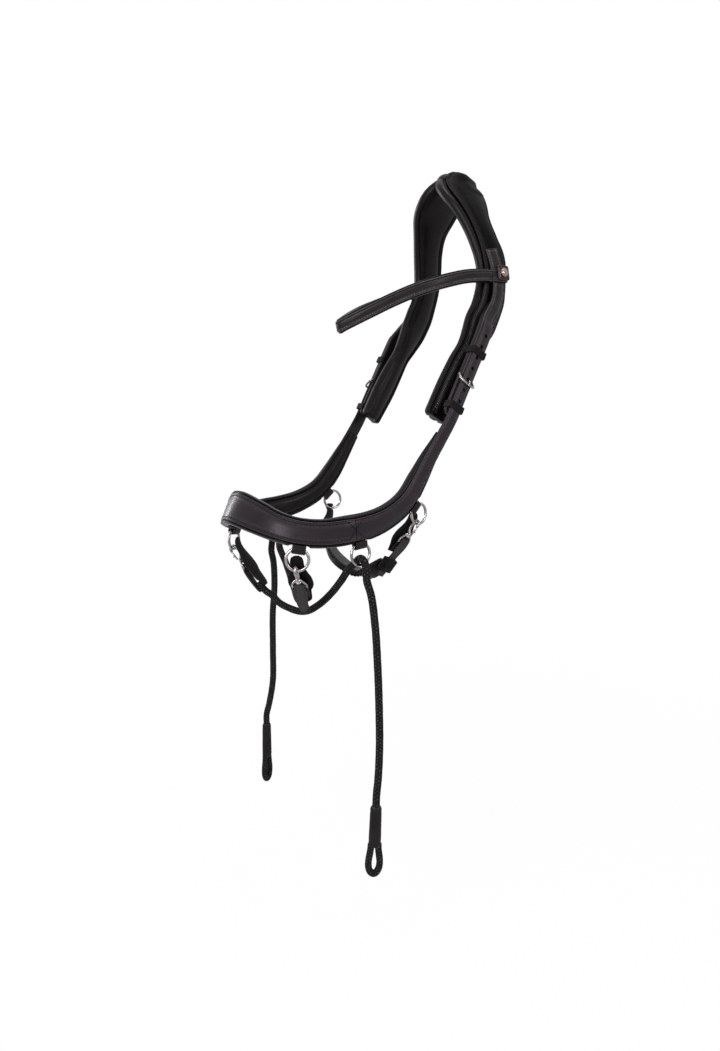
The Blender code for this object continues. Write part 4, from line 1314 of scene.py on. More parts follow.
@dataclass
class Cheekpiece(CheekPart):
    """A billet with punched holes that goes down into the padded cheek."""

    hole_radius: float = 2.2
    hole_pitch: float = 14.0
    first_hole: float = 3.75
    above: int = 4
    below: int = 2
    row_inset: float = 3.2

    def build(self) -> None:
        """Make the cheekpiece with its holes and stitches."""
        cheeks, side = self.cheeks, self.side
        guide = cheeks.nose

        def section(s: float, half: float) -> list[Mark]:
            """The billet, with two creased lines beside each edge."""
            half = rounded_half(half - cheeks.inset(half), s, half)
            return strap_section(half, -cheeks.billet, 0.0, ((1.0, 0.32, 0.28), (2.3, 0.4, 0.28)))

        tip = [0.0, 0.2, 0.6, 1.2, 1.8, 2.6, 3.6, 4.6, 5.8, 7.0, 8.2]
        lengths = tip + spaced(10.0, cheeks.seam - GAP, 2.5)
        leather = sweep(side.of("cheek_leather"), guide, lengths, section, side)
        profile = [(self.hole_radius, 12.0), (self.hole_radius, -1.5)]
        first = cheeks.bar_down + self.first_hole
        downs = [first + k * self.hole_pitch for k in range(-self.above, self.below + 1)]
        spots = [cheeks.strap_point(down, cheeks.strap_face) for down in downs]
        holes = [turned("punch", profile, spot, OUT, side, 24) for spot in spots]
        dress(cut(leather, *holes), NOSE, side.of("cheekpiece"))
        start = guide.nearest(cheeks.strap_point(292, 90))
        rows = edge_rows(
            guide, start, cheeks.seam - 7.0, 3.5, 10.0, -0.05,
            lambda half: cheeks.inset(half) + self.row_inset,
        )
        rows += cross_row(guide, start - 3.0, 4.0, 0.0, 0.3)
        sew(side.of("cheek_stitching"), rows, (2.7, 0.42), CHEEK_THREAD, side)


@dataclass
class Noseband:
    """The padded noseband: its leather, its lining with rolled edges, and its cross-stitched seams."""

    cheeks: Cheeks
    tabs: Sequence[float]
    leather: float = 3.0
    padding: float = 9.5
    row_inset: float = 3.4
    cross: float = 15.0
    tab_notch: float = 2.6
    STARTS_AT: ClassVar[Mark] = (90.0, -95, -303)

    def notch(self, s: float) -> float:
        """How far the lining's lower edge gives way to a ring's tab."""
        gap = min(abs(t - u) for t in self.tabs for u in (s, self.cheeks.nose.length - s))
        return self.tab_notch * (1 - ramp(gap, 7.0, 10.5))

    @property
    def start(self) -> float:
        """Where the lining starts on the cheek."""
        wanted = self.cheeks.nose.nearest(self.STARTS_AT)
        return min(spaced(0.0, self.cheeks.nose.length, 15.0), key=lambda s: abs(s - wanted))

    def lining_section(self, s: float, half: float) -> list[Mark]:
        """The lining, with a roll beside each edge of the leather."""
        gap = min(s - self.start, self.cheeks.nose.length - self.start - s)
        depth = self.padding * (0.4 + 0.6 * ramp(gap, 0, 60))
        inset = self.cheeks.inset(half)
        lift = 2.6 * inset / self.cheeks.roll
        face = -self.leather - GAP
        k = min(1.0, half / 13)
        rows = [
            (half - inset * 0.86 - 0.5, face, 1.0), (half - inset * 0.70 - 0.3, face + lift * 0.9, 0.3),
            (half - inset * 0.3 - 0.1, face + lift, 0.0), (half, face - depth * 0.22, 0.0),
            (half - 0.5, face - depth * 0.58, 0.0), (half - 2.4 * k, face - depth * 0.78, 0.0),
            (half - 4.4 * k, face - depth * 0.62, 1.0), (half - 7.0 * k, face - depth * 0.88, 0.1),
            (half * 0.28, face - depth, 0.1),
        ]
        limit = half - self.notch(s)
        return soft_section([(min(w, limit), n, m) for w, n, m in rows] + flipped(rows))

    def build(self) -> None:
        """Make the lining, the leather, the seams and the stitches."""
        cheeks = self.cheeks
        guide = cheeks.nose
        lengths = spaced(self.start, guide.length - self.start, 3.6)
        lining = puff(sweep("noseband_padding", guide, lengths, self.lining_section), 3.0, 0.9)
        dress(lining, PAD, "noseband_lining")
        creases = ((1.0, 0.35, 0.28), (2.2, 0.45, 0.25), (self.row_inset, 0.6, 0.3))

        def section(s: float, half: float) -> list[Mark]:
            """The leather, with creased lines and a sewn channel beside each edge."""
            return strap_section(half - cheeks.inset(half), -self.leather, 0.0, creases)

        first, last = cheeks.seam + GAP, guide.length - cheeks.seam - GAP
        front = sweep("noseband_front_leather", guide, spaced(first, last, 3.0), section)
        dress(front, NOSE, "noseband_leather")
        rows = edge_rows(
            guide, first + 6.5, last - 6.5, 3.5, 10.0, -0.2, lambda half: cheeks.inset(half) + self.row_inset
        )
        sew("noseband_stitching", rows, (2.8, 0.42), DARK_THREAD)
        for side in Side:
            self._seam(side)

    def _seam(self, side: Side) -> None:
        """The crossed rows of stitches over one seam."""
        guide, seam = self.cheeks.nose, self.cheeks.seam
        _, along, wide, _, half = guide.at(seam)
        reach = half - self.cheeks.inset(half) - self.row_inset
        rows: list[Stitch] = []
        for sign in (-1, 1):
            run = (along * self.cross + wide * reach * 2 * sign).normalized()
            for share in spaced(-0.5, 0.5, 1 / 8):
                spot, _, across, out, _ = guide.at(seam + share * self.cross)
                rows.append(Stitch(spot + across * (2 * reach * share * sign) - out * 0.05, run, out))
        sew(side.of("seam_stitching"), rows, (2.8, 0.5), DARK_THREAD, side)


@dataclass
class Browband:
    """The slim padded browband that dips on the forehead."""

    width: float = 15.5
    leather: float = 2.4
    padding: float = 5.5
    row_inset: float = 2.2
    edge: float = 1.6
    LINE: ClassVar[list[tuple[float, float, float, float]]] = [
        (74.6, -9.9, -119.5, 0.0), (75.4, -19, -120.1, 0.0), (76.2, -29, -121.4, 0.0),
        (77, -50, -124.8, 0.0),
        (75.5, -74, -130.8, 0.03), (70, -97, -137.8, 0.06), (60, -118, -145.8, 0.1), (46, -138, -156, 0.14),
        (30, -156, -167, 0.18), (14, -170.5, -176.5, 0.22), (0, -179, -183, 0.25),
    ]
    SLACK: ClassVar[tuple[float, ...]] = (0.0, 0.1, 2.6, 7.6, 10.8, 12.5, 13.1, 11.2, 7.7, 3.6)
    guide: Guide = field(init=False)

    def __post_init__(self) -> None:
        """Lay its outer face from the left loop to the right one, whose half hangs slacker."""
        half = self.width / 2
        left = [((x, y, z), (0, lean, -1), half) for x, y, z, lean in self.LINE]
        slack = []
        for (place, across, _), drop in zip(left, self.SLACK):
            slack.append((Vector(place) - Vector((0, 0, drop)), across, half))
        self.guide = Guide(left + mirrored(slack))

    def build(self) -> None:
        """Make the leather, the padding and the stitches."""
        guide = self.guide

        def leather(s: float, half: float) -> list[Mark]:
            """The leather, bowed a little."""
            flat = strap_section(half - self.edge, -self.leather, 0.0, ((self.row_inset, 0.55, 0.3),))
            return [(w, n - 0.5 * (w / half) ** 2, m) for w, n, m in flat]

        def lining(s: float, half: float) -> list[Mark]:
            """The padding, with thin rolls beside the leather."""
            face = -self.leather - GAP
            depth = self.padding * (0.55 + 0.45 * ramp(min(s, guide.length - s), 6, 30))
            rows = [
                (half - 1.4, face, 1.0), (half - 0.6, face + 0.9, 0.0), (half, face - depth * 0.25, 0.0),
                (half - 0.8, face - depth * 0.75, 0.0), (half * 0.5, face - depth * 0.97, 0.2),
                (half * 0.1, face - depth, 0.2),
            ]
            return soft_section(rows + flipped(rows), 3)

        lengths = spaced(0, guide.length, 3.0)
        pad = puff(sweep("browband_lining", guide, lengths, lining), 2.5, 0.6)
        dress(pad, PAD, "browband_padding")
        dress(sweep("browband_top_leather", guide, lengths, leather), STRAP, "browband_leather")
        for name, sign, finish in (("upper", -1, DARK_THREAD), ("lower", 1, PALE_THREAD)):
            def line(s: float, half: float, sign: int = sign) -> Pair:
                """The row beside one edge."""
                return sign * (half - self.edge - self.row_inset), -0.35

            row = stitch_row(guide, 6.0, guide.length - 6.0, 3.2, 10.0, line)
            sew(f"browband_{name}_stitching", row, (2.5, 0.36), finish)


@dataclass
class BrowLoop(CheekPart):
    """The browband's loop round the hanging strap, and the square press stud that closes it."""

    leather: float = 2.0
    deep: float = 15.0
    slack: float = 0.8
    strap: float = 3.0
    stud_side: float = 17.5
    stud_rise: float = 2.5
    stud_back: float = 4.0
    stud_plate: float = 2.0
    dome: float = 5.2
    PLATE: ClassVar[list[tuple[float, float]]] = [
        (0.97, 0.0), (1.0, 0.25), (1.0, 1.5), (0.985, 1.8), (0.95, 2.0), (0.80, 2.0), (0.77, 1.75),
        (0.74, 1.95),
        (0.40, 1.95),
    ]
    RIM: ClassVar[list[tuple[float, float]]] = [
        (0.96, 0.0), (1.0, 0.25), (1.0, 0.8), (0.97, 1.05), (0.88, 1.1), (0.84, 1.0),
    ]

    def build(self) -> None:
        """Make the loop, the stud's plate and its dome."""
        guide, side = self.cheeks.hanging, self.side
        place, along, across, outward, _ = guide.at(guide.nearest(self.cheeks.LOOP_AT))
        size = (self.cheeks.hanging_width + 3 * self.slack, self.strap + 2 * self.slack, self.deep)
        middle = place - outward * self.strap / 2
        loop = band(side.of("browband_end"), (middle, across, outward), size, self.leather, 0.9, side)
        dress(loop, STRAP, side.of("browband_loop"))
        face = self.slack + self.leather + GAP
        base = place + across * self.stud_back - along * self.stud_rise + outward * face
        square = rounded_box(self.stud_side, self.stud_side, 2.6, 7)
        rings = [
            [base + across * x * share + along * y * share + outward * height for x, y in square]
            for share, height in self.PLATE
        ]
        marks = [[0.3 if 0 < i < 5 else 0.0] * len(square) for i in range(len(rings))]
        dress(skin(side.of("stud_square"), rings, marks, side), BRONZE, side.of("stud_plate"))
        profile = [(self.dome * share, height) for share, height in self.RIM]
        for degrees in range(0, 91, 10):
            turn = math.radians(degrees)
            profile.append((self.dome * 0.8 * math.cos(turn), 1.0 + 1.6 * math.sin(turn)))
        top = base + outward * (self.stud_plate + GAP)
        dome = turned(side.of("stud_cap"), profile, top, outward, side, 40)
        dress(dome, ROSE, side.of("stud_dome"))


# Rings and snaps


@dataclass
class RingTab:
    """A folded tab under the noseband and the ring that hangs in it."""

    cheeks: Cheeks
    place: str
    length: float
    radius: float = 11.6
    wire_radius: float = 1.6
    tunnel: float = 3.35
    sink: float = 1.37
    leather: float = 1.35
    inward: float = 5.0
    width: float = 14.0
    drop: float = 2.4

    def __post_init__(self) -> None:
        """Find the tunnel's axis, the ring's middle and their directions."""
        spot, self.along, self.across, self.outward, half = self.cheeks.nose.at(self.length)
        self.axis = spot + self.across * (half + self.drop) - self.outward * self.inward
        down = Vector((0, 0, -1))
        self.down = (down - self.along * down.dot(self.along)).normalized()
        self.center = self.axis + self.down * (self.radius - self.sink)

    def build(self, side: Side) -> None:
        """Make the tab and the ring on one side."""
        name = side.of(self.place)
        middle = self.tunnel + self.leather / 2
        path = [(middle, 4.3), (middle, 2.2)] + arc(middle, 0, -180, 19) + [(-middle, 2.2), (-middle, 4.3)]
        spots = [self.axis + self.outward * x - self.across * y for x, y in path]
        guide = Guide([(p, self.along, self.width / 2) for p in spots])
        half = self.leather / 2

        def section(s: float, wide: float) -> list[Mark]:
            """The tab's leather."""
            return strap_section(wide, -half, half, ((1.4, 0.35, 0.15),))

        tab = sweep("tab_fold_" + name, guide, spaced(0, guide.length, 0.8), section, side)
        dress(tab, STRAP, "ring_tab_" + name)
        second = self.along.cross(self.down).cross(self.along)
        points = circle(self.center, self.along, second, self.radius, 56)
        ring = wire("round_ring_" + name, points, self.wire_radius, side, closed=True, sides=18)
        dress(ring, NICKEL, "ring_" + name, body="ring_" + name)


class SnapFrame(NamedTuple):
    """Where a snap hangs: its ring's wire, and the directions down the snap, outward and across."""

    origin: Vector
    down: Vector
    outward: Vector
    across: Vector

    def at(self, a: float, b: float, c: float = 0.0) -> Vector:
        """A place down, outward and across from the ring's wire."""
        return self.origin + self.down * a + self.outward * b + self.across * c


EYE_FOLD = [
    (26.6, 2.5, 6.1), (24.5, 2.45, 6.1), (22.77, 1.73, 6.1), (22.05, 0, 6.1), (22.77, -1.73, 6.1),
    (24.5, -2.45, 6.1),
]
FRONT_TAB = [
    (60.5, 4.3, 1.6), (58.0, 4.3, 3.8), (51, 4.3, 5.6), (42, 4.2, 6.6), (34, 3.4, 7.8), (30, 2.8, 8.1),
    *EYE_FOLD,
    (28.5, -2.7, 6.6), (35, -3.6, 7.6), (46.5, -4.2, 7.0),
]
BACK_TAB = [
    (74, 0.2, 4.8), (66, 0.1, 5.6), (58, 0.0, 5.6), (48, 0.4, 5.6), (38, 1.6, 6.0), (31, 2.4, 6.4),
    *EYE_FOLD,
    (29.0, -2.7, 6.4), (36, -3.2, 6.4), (42, -3.6, 6.2),
]
SAFE_TOP = [
    (-8.4, -13.2, 2.4), (-7.4, -12.3, 5.0), (-4.6, -10.3, 6.9), (0, -8.4, 7.3), (5, -7.6, 7.8),
    (11, -7.0, 9.8),
    (17, -6.5, 12.4),
]
FRONT_SAFE = SAFE_TOP + [
    (22, -6.4, 13.3), (30, -6.4, 13.2), (34, -6.4, 11.8), (37.5, -6.4, 9.8), (43, -6.4, 9.2),
    (50, -6.4, 8.6),
    (54, -6.5, 7.6), (57, -6.6, 4.6),
]
BACK_SAFE = SAFE_TOP + [
    (22, -6.4, 13.0), (28, -6.4, 12.4), (33, -6.4, 10.0), (38, -6.4, 8.0), (43, -6.4, 6.6),
]


@dataclass
class Snap:
    """A trigger snap with its gate, its leather safe and the tab folded through its eye."""

    hang: SnapFrame
    side: Side
    name: str
    body: str
    tab: Sequence[Mark]
    safe: Sequence[Mark]
    bowl: float = 3.9
    wire_radius: float = 1.6
    eye_down: float = 24.5
    eye_half: float = 7.6
    eye_wire: float = 1.2
    tab_leather: float = 1.8
    safe_leather: float = 2.0
    BARREL: ClassVar[list[tuple[float, float]]] = [
        (0.0, 19.7), (1.4, 19.5), (2.3, 18.9), (2.6, 18.3), (3.2, 18.0), (3.45, 17.4), (3.45, 16.6),
        (3.2, 16.0),
        (2.7, 15.7), (2.8, 15.2), (3.0, 14.8), (2.9, 14.2), (2.4, 13.5), (1.9, 12.9), (1.2, 12.5),
        (0.0, 12.3),
    ]
    HOOK: ClassVar[list[tuple[float, float]]] = [
        (14.5, -0.4), (12.8, -1.5), (10.5, -3.2), (8.3, -4.0), (6, -4.35), (3.5, -4.2), (1.5, -4.0),
    ]
    EYE: ClassVar[list[tuple[float, float]]] = [
        (0.0, 14.2), (1.8, 14.4), (3.2, 15.6), (4.6, 17.6), (5.9, 19.4), (7.0, 20.9),
    ]
    GATE: ClassVar[list[tuple[float, float]]] = [(2.9, 4.2), (5.5, 4.2), (8, 4.15), (10.8, 4.0), (13.4, 3.9)]
    THUMB: ClassVar[list[tuple[float, float]]] = [(7.4, 4.6), (7.9, 5.6), (8.2, 6.6)]

    def build(self) -> None:
        """Make the metal, the tab and the safe."""
        hang, side = self.hang, self.side
        bowl = [(-x, -y) for x, y in arc(self.bowl, 90, -90, 16)]
        hook = self.HOOK + bowl + [(1.4, 4.05), (2.6, 4.05)]
        sizes = [1.9, 1.8, 1.7] + [self.wire_radius] * (len(hook) - 5) + [1.45, 1.25]
        metal = wire("snap_hook_" + self.name, [hang.at(*p) for p in hook], sizes, side, sides=18)
        barrel = turned("barrel", self.BARREL, hang.origin, hang.down, side)
        w, end = self.eye_half, self.eye_down
        half_eye = self.EYE + [(w, 22.4), (w, end - 0.6), (w - 0.6, end), (w - 2.4, end)]
        outline = half_eye + [(0.0, end)] + [(-x, y) for x, y in reversed(half_eye[1:])]
        loop = wire("eye", [hang.at(y, 0.0, x) for x, y in outline], self.eye_wire, side, closed=True)
        feet = []
        for sign in (-1, 1):
            foot = [hang.at(end + a, 0.0, sign * (w + b)) for a, b in ((-1.5, 0.0), (1.0, 0.0), (2.6, 0.3))]
            feet.append(wire("foot", foot, [1.25, 1.2, 0.8], side))
        dress(join(metal, barrel, loop, *feet), NICKEL, "snap_" + self.name, body=self.body)
        latch = [hang.at(*p) for p in self.GATE]
        gate = wire("snap_latch_" + self.name, latch, [0.8, 1.1, 1.15, 1.15, 0.9], side)
        thumb = wire("thumb", [hang.at(*p) for p in self.THUMB], [0.95, 0.85, 0.7], side)
        dress(join(gate, thumb), NICKEL, "snap_gate_" + self.name, body="gate_" + self.name)
        self._leather("tab", self.tab, self.tab_leather, 1.0, GREY)
        self._leather("safe", self.safe, self.safe_leather, 2.0, MATT)

    def _leather(
        self, what: str, stations: Sequence[Mark], thick: float, step: float, finish: Finish
    ) -> None:
        """One of the snap's leathers.

        Args:
            what: its word in the names.
            stations: (down, outward, half width) places along it.
            thick: its thickness.
            step: how far its rings are apart.
            finish: its finish.
        """
        guide = Guide([(self.hang.at(a, b), self.hang.across, h) for a, b, h in stations])

        def section(s: float, half: float) -> list[Mark]:
            """The leather, creased beside its edges."""
            return strap_section(half, -thick / 2, thick / 2, ((1.3, 0.35, 0.15),))

        name = f"snap_{what}_leather_{self.name}"
        leather = sweep(name, guide, spaced(0, guide.length, step), section, self.side)
        dress(leather, finish, f"snap_{what}_{self.name}", body=self.body)


def front_hang(tab: RingTab, inward: float = 37.0, back: float = 13.0) -> SnapFrame:
    """Where the front snap hangs, swung in from its ring by the rope's pull.

    Args:
        tab: the front ring and its tab.
        inward: how far it is swung in, in degrees.
        back: how far it is swung back, in degrees.

    Returns:
        The snap's frame.
    """
    out = facing(tab.along.cross(tab.down), 0)
    swing, lean = math.radians(inward), math.radians(back)
    hang = tab.down * math.cos(swing) - out * math.sin(swing)
    outward = out * math.cos(swing) + tab.down * math.sin(swing)
    down = hang * math.cos(lean) - tab.along * math.sin(lean)
    across = hang * math.sin(lean) + tab.along * math.cos(lean)
    return SnapFrame(tab.center + tab.down * tab.radius, down, outward, across)


@dataclass
class JawStrap:
    """The padded strap under the jaw, from the right back ring to the left back snap."""

    tab: RingTab
    bore: float = 2.9
    start: float = 0.5
    row_inset: float = 2.2
    LOOP: ClassVar[Vector] = Vector((60, -155, -456))

    def __post_init__(self) -> None:
        """Find where the left back snap hangs."""
        out = facing(self.tab.along.cross(self.tab.down), 0)
        radial = Vector((0, -0.35, -0.94))
        self.radial = (radial - out * radial.dot(out)).normalized()
        across = facing(out.cross(self.radial), 1)
        origin = self.tab.center + self.radial * self.tab.radius
        pull = self.LOOP - origin
        pull = (pull - across * pull.dot(across)).normalized()
        self.hang = SnapFrame(origin, pull, facing(across.cross(pull), 0), across)

    def heights(self, s: float, half: float) -> tuple[float, float]:
        """The strap's lower and upper faces at a length."""
        grow = ramp(half, 6.2, 11.0)
        end = max(0.0, 1 - s / 9.0)
        return -1.6 - 1.6 * grow - 2.9 * end, 1.6 + 2.6 * grow + 2.9 * end

    def section(self, s: float, half: float) -> list[Mark]:
        """The strap, soft and fuller in its middle."""
        low, high = self.heights(s, half)
        upper = [
            (half - 0.6, high - 0.9, 0.0), (half - 2.2, high - 0.5, 0.9), (half - 3.6, high, 0.2),
            (half * 0.2, high, 0.1),
        ]
        lower = [(-half + 0.6, low + 0.8, 0.0), (-half * 0.5, low, 0.2)]
        middle = (low + high) / 2
        over = [(half, middle, 0.0), *upper, *flipped(upper)]
        under = [(-half, middle, 0.0), *lower, *flipped(lower)]
        return soft_section(over + under)

    def build(self) -> None:
        """Make the strap, its loop for the tab, and its stitches."""
        hang = self.hang
        across = Side.RIGHT.put(hang.across)
        loop = hang.at(58, 0)
        start = Side.RIGHT.put(hang.origin) - Side.RIGHT.put(self.radial) * self.start
        level = (0, 0.98, -0.2)
        guide = Guide([
            (start + Vector((-2.6, 0.6, 3.0)), across, 4.6),
            (start + Vector((2.0, -1.0, -4.4)), across, 5.0),
            ((-70, -153, -423), across, 6.0), ((-45, -164, -434), (0, 0.97, -0.25), 6.2),
            ((-22, -173, -444), level, 8.5), ((0, -178, -452), level, 11.0),
            ((20, -177, -458.5), level, 12.0),
            ((38, -168, -463), (0.2, 0.95, -0.2), 12.0),
            (loop - hang.outward * 5.5, (0.3, 0.93, -0.2), 8.0),
        ])
        lengths = [0.0, 0.4, 1.0, 2.0, 3.0, 4.5, 6.0, 7.5, 9.0] + spaced(12, guide.length, 3.0)
        strap = puff(sweep("jaw_pad", guide, lengths, self.section), 2.0, 0.5)
        hole = turned("bore", [(self.bore, -14.0), (self.bore, 14.0)], start, across, Side.LEFT, 24)
        dress(cut(strap, hole), PAD, "jaw_strap", body="jaw", slot=Slot.LEATHER)
        collar = band("jaw_loop", (loop, hang.across, hang.outward), (12.4, 2.9, 16.0), 3.2, 0.8, Side.LEFT)
        dress(collar, MATT, body="jaw")
        rows: list[Stitch] = []
        for sign in (-1, 1):
            for face, sunk in ((-1, -0.25), (1, 0.45)):
                def line(s: float, half: float, at: tuple[int, int, float] = (sign, face, sunk)) -> Pair:
                    """The row beside one edge of one face."""
                    return at[0] * (half - self.row_inset), self.heights(s, half)[at[1] > 0] - at[2]

                row = stitch_row(guide, 14.0, guide.length - 12.0, 3.6, 8.0, line)
                rows += [Stitch(stitch.middle, stitch.run, stitch.face * face) for stitch in row]
        sew("jaw_stitching", rows, (2.8, 0.38), DARK_THREAD, body="jaw")


# Ropes

STRANDS = 8
BRAID_PITCH = 15.0


def braid(name: str, line: Points, radius: float, side: Side) -> Piece:
    """A braided rope along a line.

    Args:
        name: the piece's name.
        line: its middle line, a step of about a millimetre apart.
        radius: the rope's radius.
        side: the side that it goes on.

    Returns:
        The object. Its marks are the strands' heights, which the cord's material turns into painted shade in
        the grooves, with 1 added on the pale yarns, which also carry painted highlight on their crests.
    """
    rings = []
    marks = []
    walked = 0.0
    for i, (spot, (a, b)) in enumerate(zip(line, transported(line))):
        if i:
            walked += (spot - line[i - 1]).length
        ring = []
        row = []
        for k in range(6 * STRANDS):
            turn = k / (6 * STRANDS)
            left = turn * STRANDS + walked * STRANDS / BRAID_PITCH
            right = turn * STRANDS - walked * STRANDS / BRAID_PITCH
            over = (math.floor(left) + math.floor(right)) % 2 == 0
            upper, lower = (left, right) if over else (right, left)
            share, length = upper % 1.0, lower % 1.0
            height = math.sin(math.pi * share) ** 0.7 * (0.72 + 0.28 * math.sin(math.pi * length))
            # pale yarn on every other strand, kept to the middle of its crest, where it also paints highlight
            pale = over and math.floor(upper) % STRANDS % 2 and abs(share - 0.5) < 0.36 and 0.1 < length < 0.9
            size = radius * (0.87 + 0.15 * height)
            t = 2 * math.pi * turn
            ring.append(spot + a * (size * math.cos(t)) + b * (size * math.sin(t)))
            row.append(height + (1.0 if pale else 0.0))
        rings.append(ring)
        marks.append(row)
    return skin(name, rings, marks, side)


@dataclass
class Rope:
    """A braided rope from a front snap, under the jaw, through the other side's ring and down to its loop."""

    front: SnapFrame
    ring_wire: Vector
    side: Side
    diameter: float = 8.4
    loop_diameter: float = 7.6
    sleeve_radius: float = 6.2
    held: int = 14
    free: int = 74
    TOP: ClassVar[Vector] = Vector((124, -215, -695))
    BOTTOM: ClassVar[Vector] = Vector((123, -216, -741))
    WIDE: ClassVar[Vector] = Vector((0.45, 0.89, 0)).normalized()
    SEWN: ClassVar[list[tuple[float, float]]] = [(49, -0.9), (58, -0.9), (64, -1.9), (70, -4.4)]
    UNDER: ClassVar[dict[Side, list[Mark]]] = {
        Side.LEFT: [
            (-29, -244, -500), (-13, -238, -504.5), (0, -234, -505.5), (13, -229.5, -502.5),
            (26, -224.5, -494),
            (45, -219, -477),
        ],
        Side.RIGHT: [
            (-29, -243.5, -496), (-13, -238.5, -494.5), (0, -233, -494), (13, -229, -492.5),
            (26, -224, -488),
            (45, -219, -475),
        ],
    }
    NEAR: ClassVar[list[Mark]] = [(62, -216.5, -459), (77, -216, -443)]
    THROUGH: ClassVar[list[Mark]] = [
        (-9.2, 0.6, 2.5), (-4.9, 0.4, 5.6), (0, 0, 6.6), (5.0, -0.2, 4.6), (7.4, 0.4, -1.6),
    ]
    FALL: ClassVar[list[Mark]] = [
        (104, -213, -452), (106, -209.5, -466), (109.5, -206.5, -498), (115, -207, -540),
        (117.5, -206.5, -590),
        (119, -207, -636), (122.5, -211.5, -668), (124.2, -214.7, -683),
    ]
    LOOP: ClassVar[list[tuple[float, float]]] = [
        (-4.0, -2.0), (-4.0, 0), (-4.7, 7), (-5.9, 15), (-6.2, 22), (-5.0, 28), (-2.4, 31.8),
    ]

    def route(self) -> list[Vector]:
        """The rope's line, in millimetres."""
        start = [Side.RIGHT.put(self.front.at(*p)) for p in self.SEWN]
        through = [self.ring_wire + Vector(p) for p in self.THROUGH]
        under = [Vector(p) for p in self.UNDER[self.side] + self.NEAR]
        fall = [Vector(p) for p in self.FALL]
        return evenly(start + under + through + fall + [self.TOP], 1.0)

    def build(self) -> None:
        """Make the rope, its sleeve and its eye loop, and say how long the rope is."""
        side = self.side
        line = self.route()
        rope = braid(side.of("braided_rope"), line, self.diameter / 2, side)
        dress(rope, ROPE, side.of("rope"), body="")
        sleeve = self._sleeve()
        loop = self._loop()
        path = [side.put(p) * MM for p in line]
        length = sum((b - a).length for a, b in zip(path, path[1:]))
        log.info("rope %s is %.3f m long", side.label, length)
        self.diameter * MM
        side.other.of("ring_front")
        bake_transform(rope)

    def _sleeve(self) -> Piece:
        """The stitched leather sleeve round the loop's ends."""
        guide = Guide([(end, self.WIDE, self.sleeve_radius) for end in (self.TOP, self.BOTTOM)])

        def section(s: float, half: float) -> list[Mark]:
            """The sleeve, drawn in at its ends and over the whipping beneath."""
            gap = min(s, guide.length - s)
            ease = 0.80 + 0.2 * math.sqrt(min(1.0, gap / 3.0)) - 0.035 * math.exp(-((gap - 6.0) / 1.2) ** 2)
            size = half * ease * (1.0 + 0.12 * s / guide.length)
            # the drawn-in ends take the edge colour: rubbed wear and painted highlight
            return [(x * size, y * size * 0.86, 0.9 if gap < 1.0 else 0.0) for x, y in arc(1.0, 0, 352, 45)]

        lengths = spaced(0, guide.length, 1.0)
        sleeve = sweep(self.side.of("sleeve_leather"), guide, lengths, section, self.side)
        rows = []
        for s in spaced(5.0, guide.length - 5.0, 3.4):
            place, along, wide, outward, half = guide.at(s)
            size = half * (1.0 + 0.12 * s / guide.length)
            face = (wide * 0.35 - outward * 0.93).normalized()
            spot = place + wide * (size * 0.35) - outward * (size * 0.86 * 0.93)
            rows.append(Stitch(spot, (along * 0.55 + face.cross(along) * 0.85).normalized(), face))
        dress(sleeve, SLEEVE, self.side.of("rope_sleeve"))
        sew(self.side.of("sleeve_stitching"), rows, (3.0, 0.4), DARK_THREAD, self.side)
        return sleeve

    def _loop(self) -> Piece:
        """The eye loop below the sleeve."""
        axis = (self.BOTTOM - self.TOP).normalized()
        start = self.BOTTOM + axis * GAP
        outline = self.LOOP + [(0, 32.8)] + [(-x, y) for x, y in reversed(self.LOOP)]
        line = evenly([start + self.WIDE * x + axis * y for x, y in outline], 1.0)
        loop = braid(self.side.of("rope_eye"), line, self.loop_diameter / 2, self.side)
        return dress(loop, ROPE, self.side.of("rope_loop"))


# The studio


def show_to_camera(
    tree: bpy.types.NodeTree, light: bpy.types.NodeSocket, seen: bpy.types.NodeSocket,
    share: bpy.types.NodeSocket, output: str,
) -> None:
    """Mix a shader that lights the object with one that the camera sees.

    Args:
        tree: the node tree.
        light: the shader that lights the object.
        seen: the shader that the camera sees.
        share: how much of the second one shows.
        output: the output node's name.
    """
    mix = tree.nodes.new("ShaderNodeMixShader")
    for socket, place in ((share, 0), (light, 1), (seen, 2)):
        tree.links.new(socket, mix.inputs[place])
    tree.links.new(mix.outputs[0], tree.nodes[output].inputs[0])


def camera_sees(tree: bpy.types.NodeTree) -> bpy.types.NodeSocket:
    """1 where the camera, or a mirror of it, sees the surface."""
    path = tree.nodes.new("ShaderNodeLightPath")
    both = path.outputs["Is Camera Ray"]
    for name in ("Is Glossy Ray", "Is Transmission Ray"):
        either = tree.nodes.new("ShaderNodeMath")
        either.operation = "MAXIMUM"
        tree.links.new(both, either.inputs[0])
        tree.links.new(path.outputs[name], either.inputs[1])
        both = either.outputs[0]
    return both


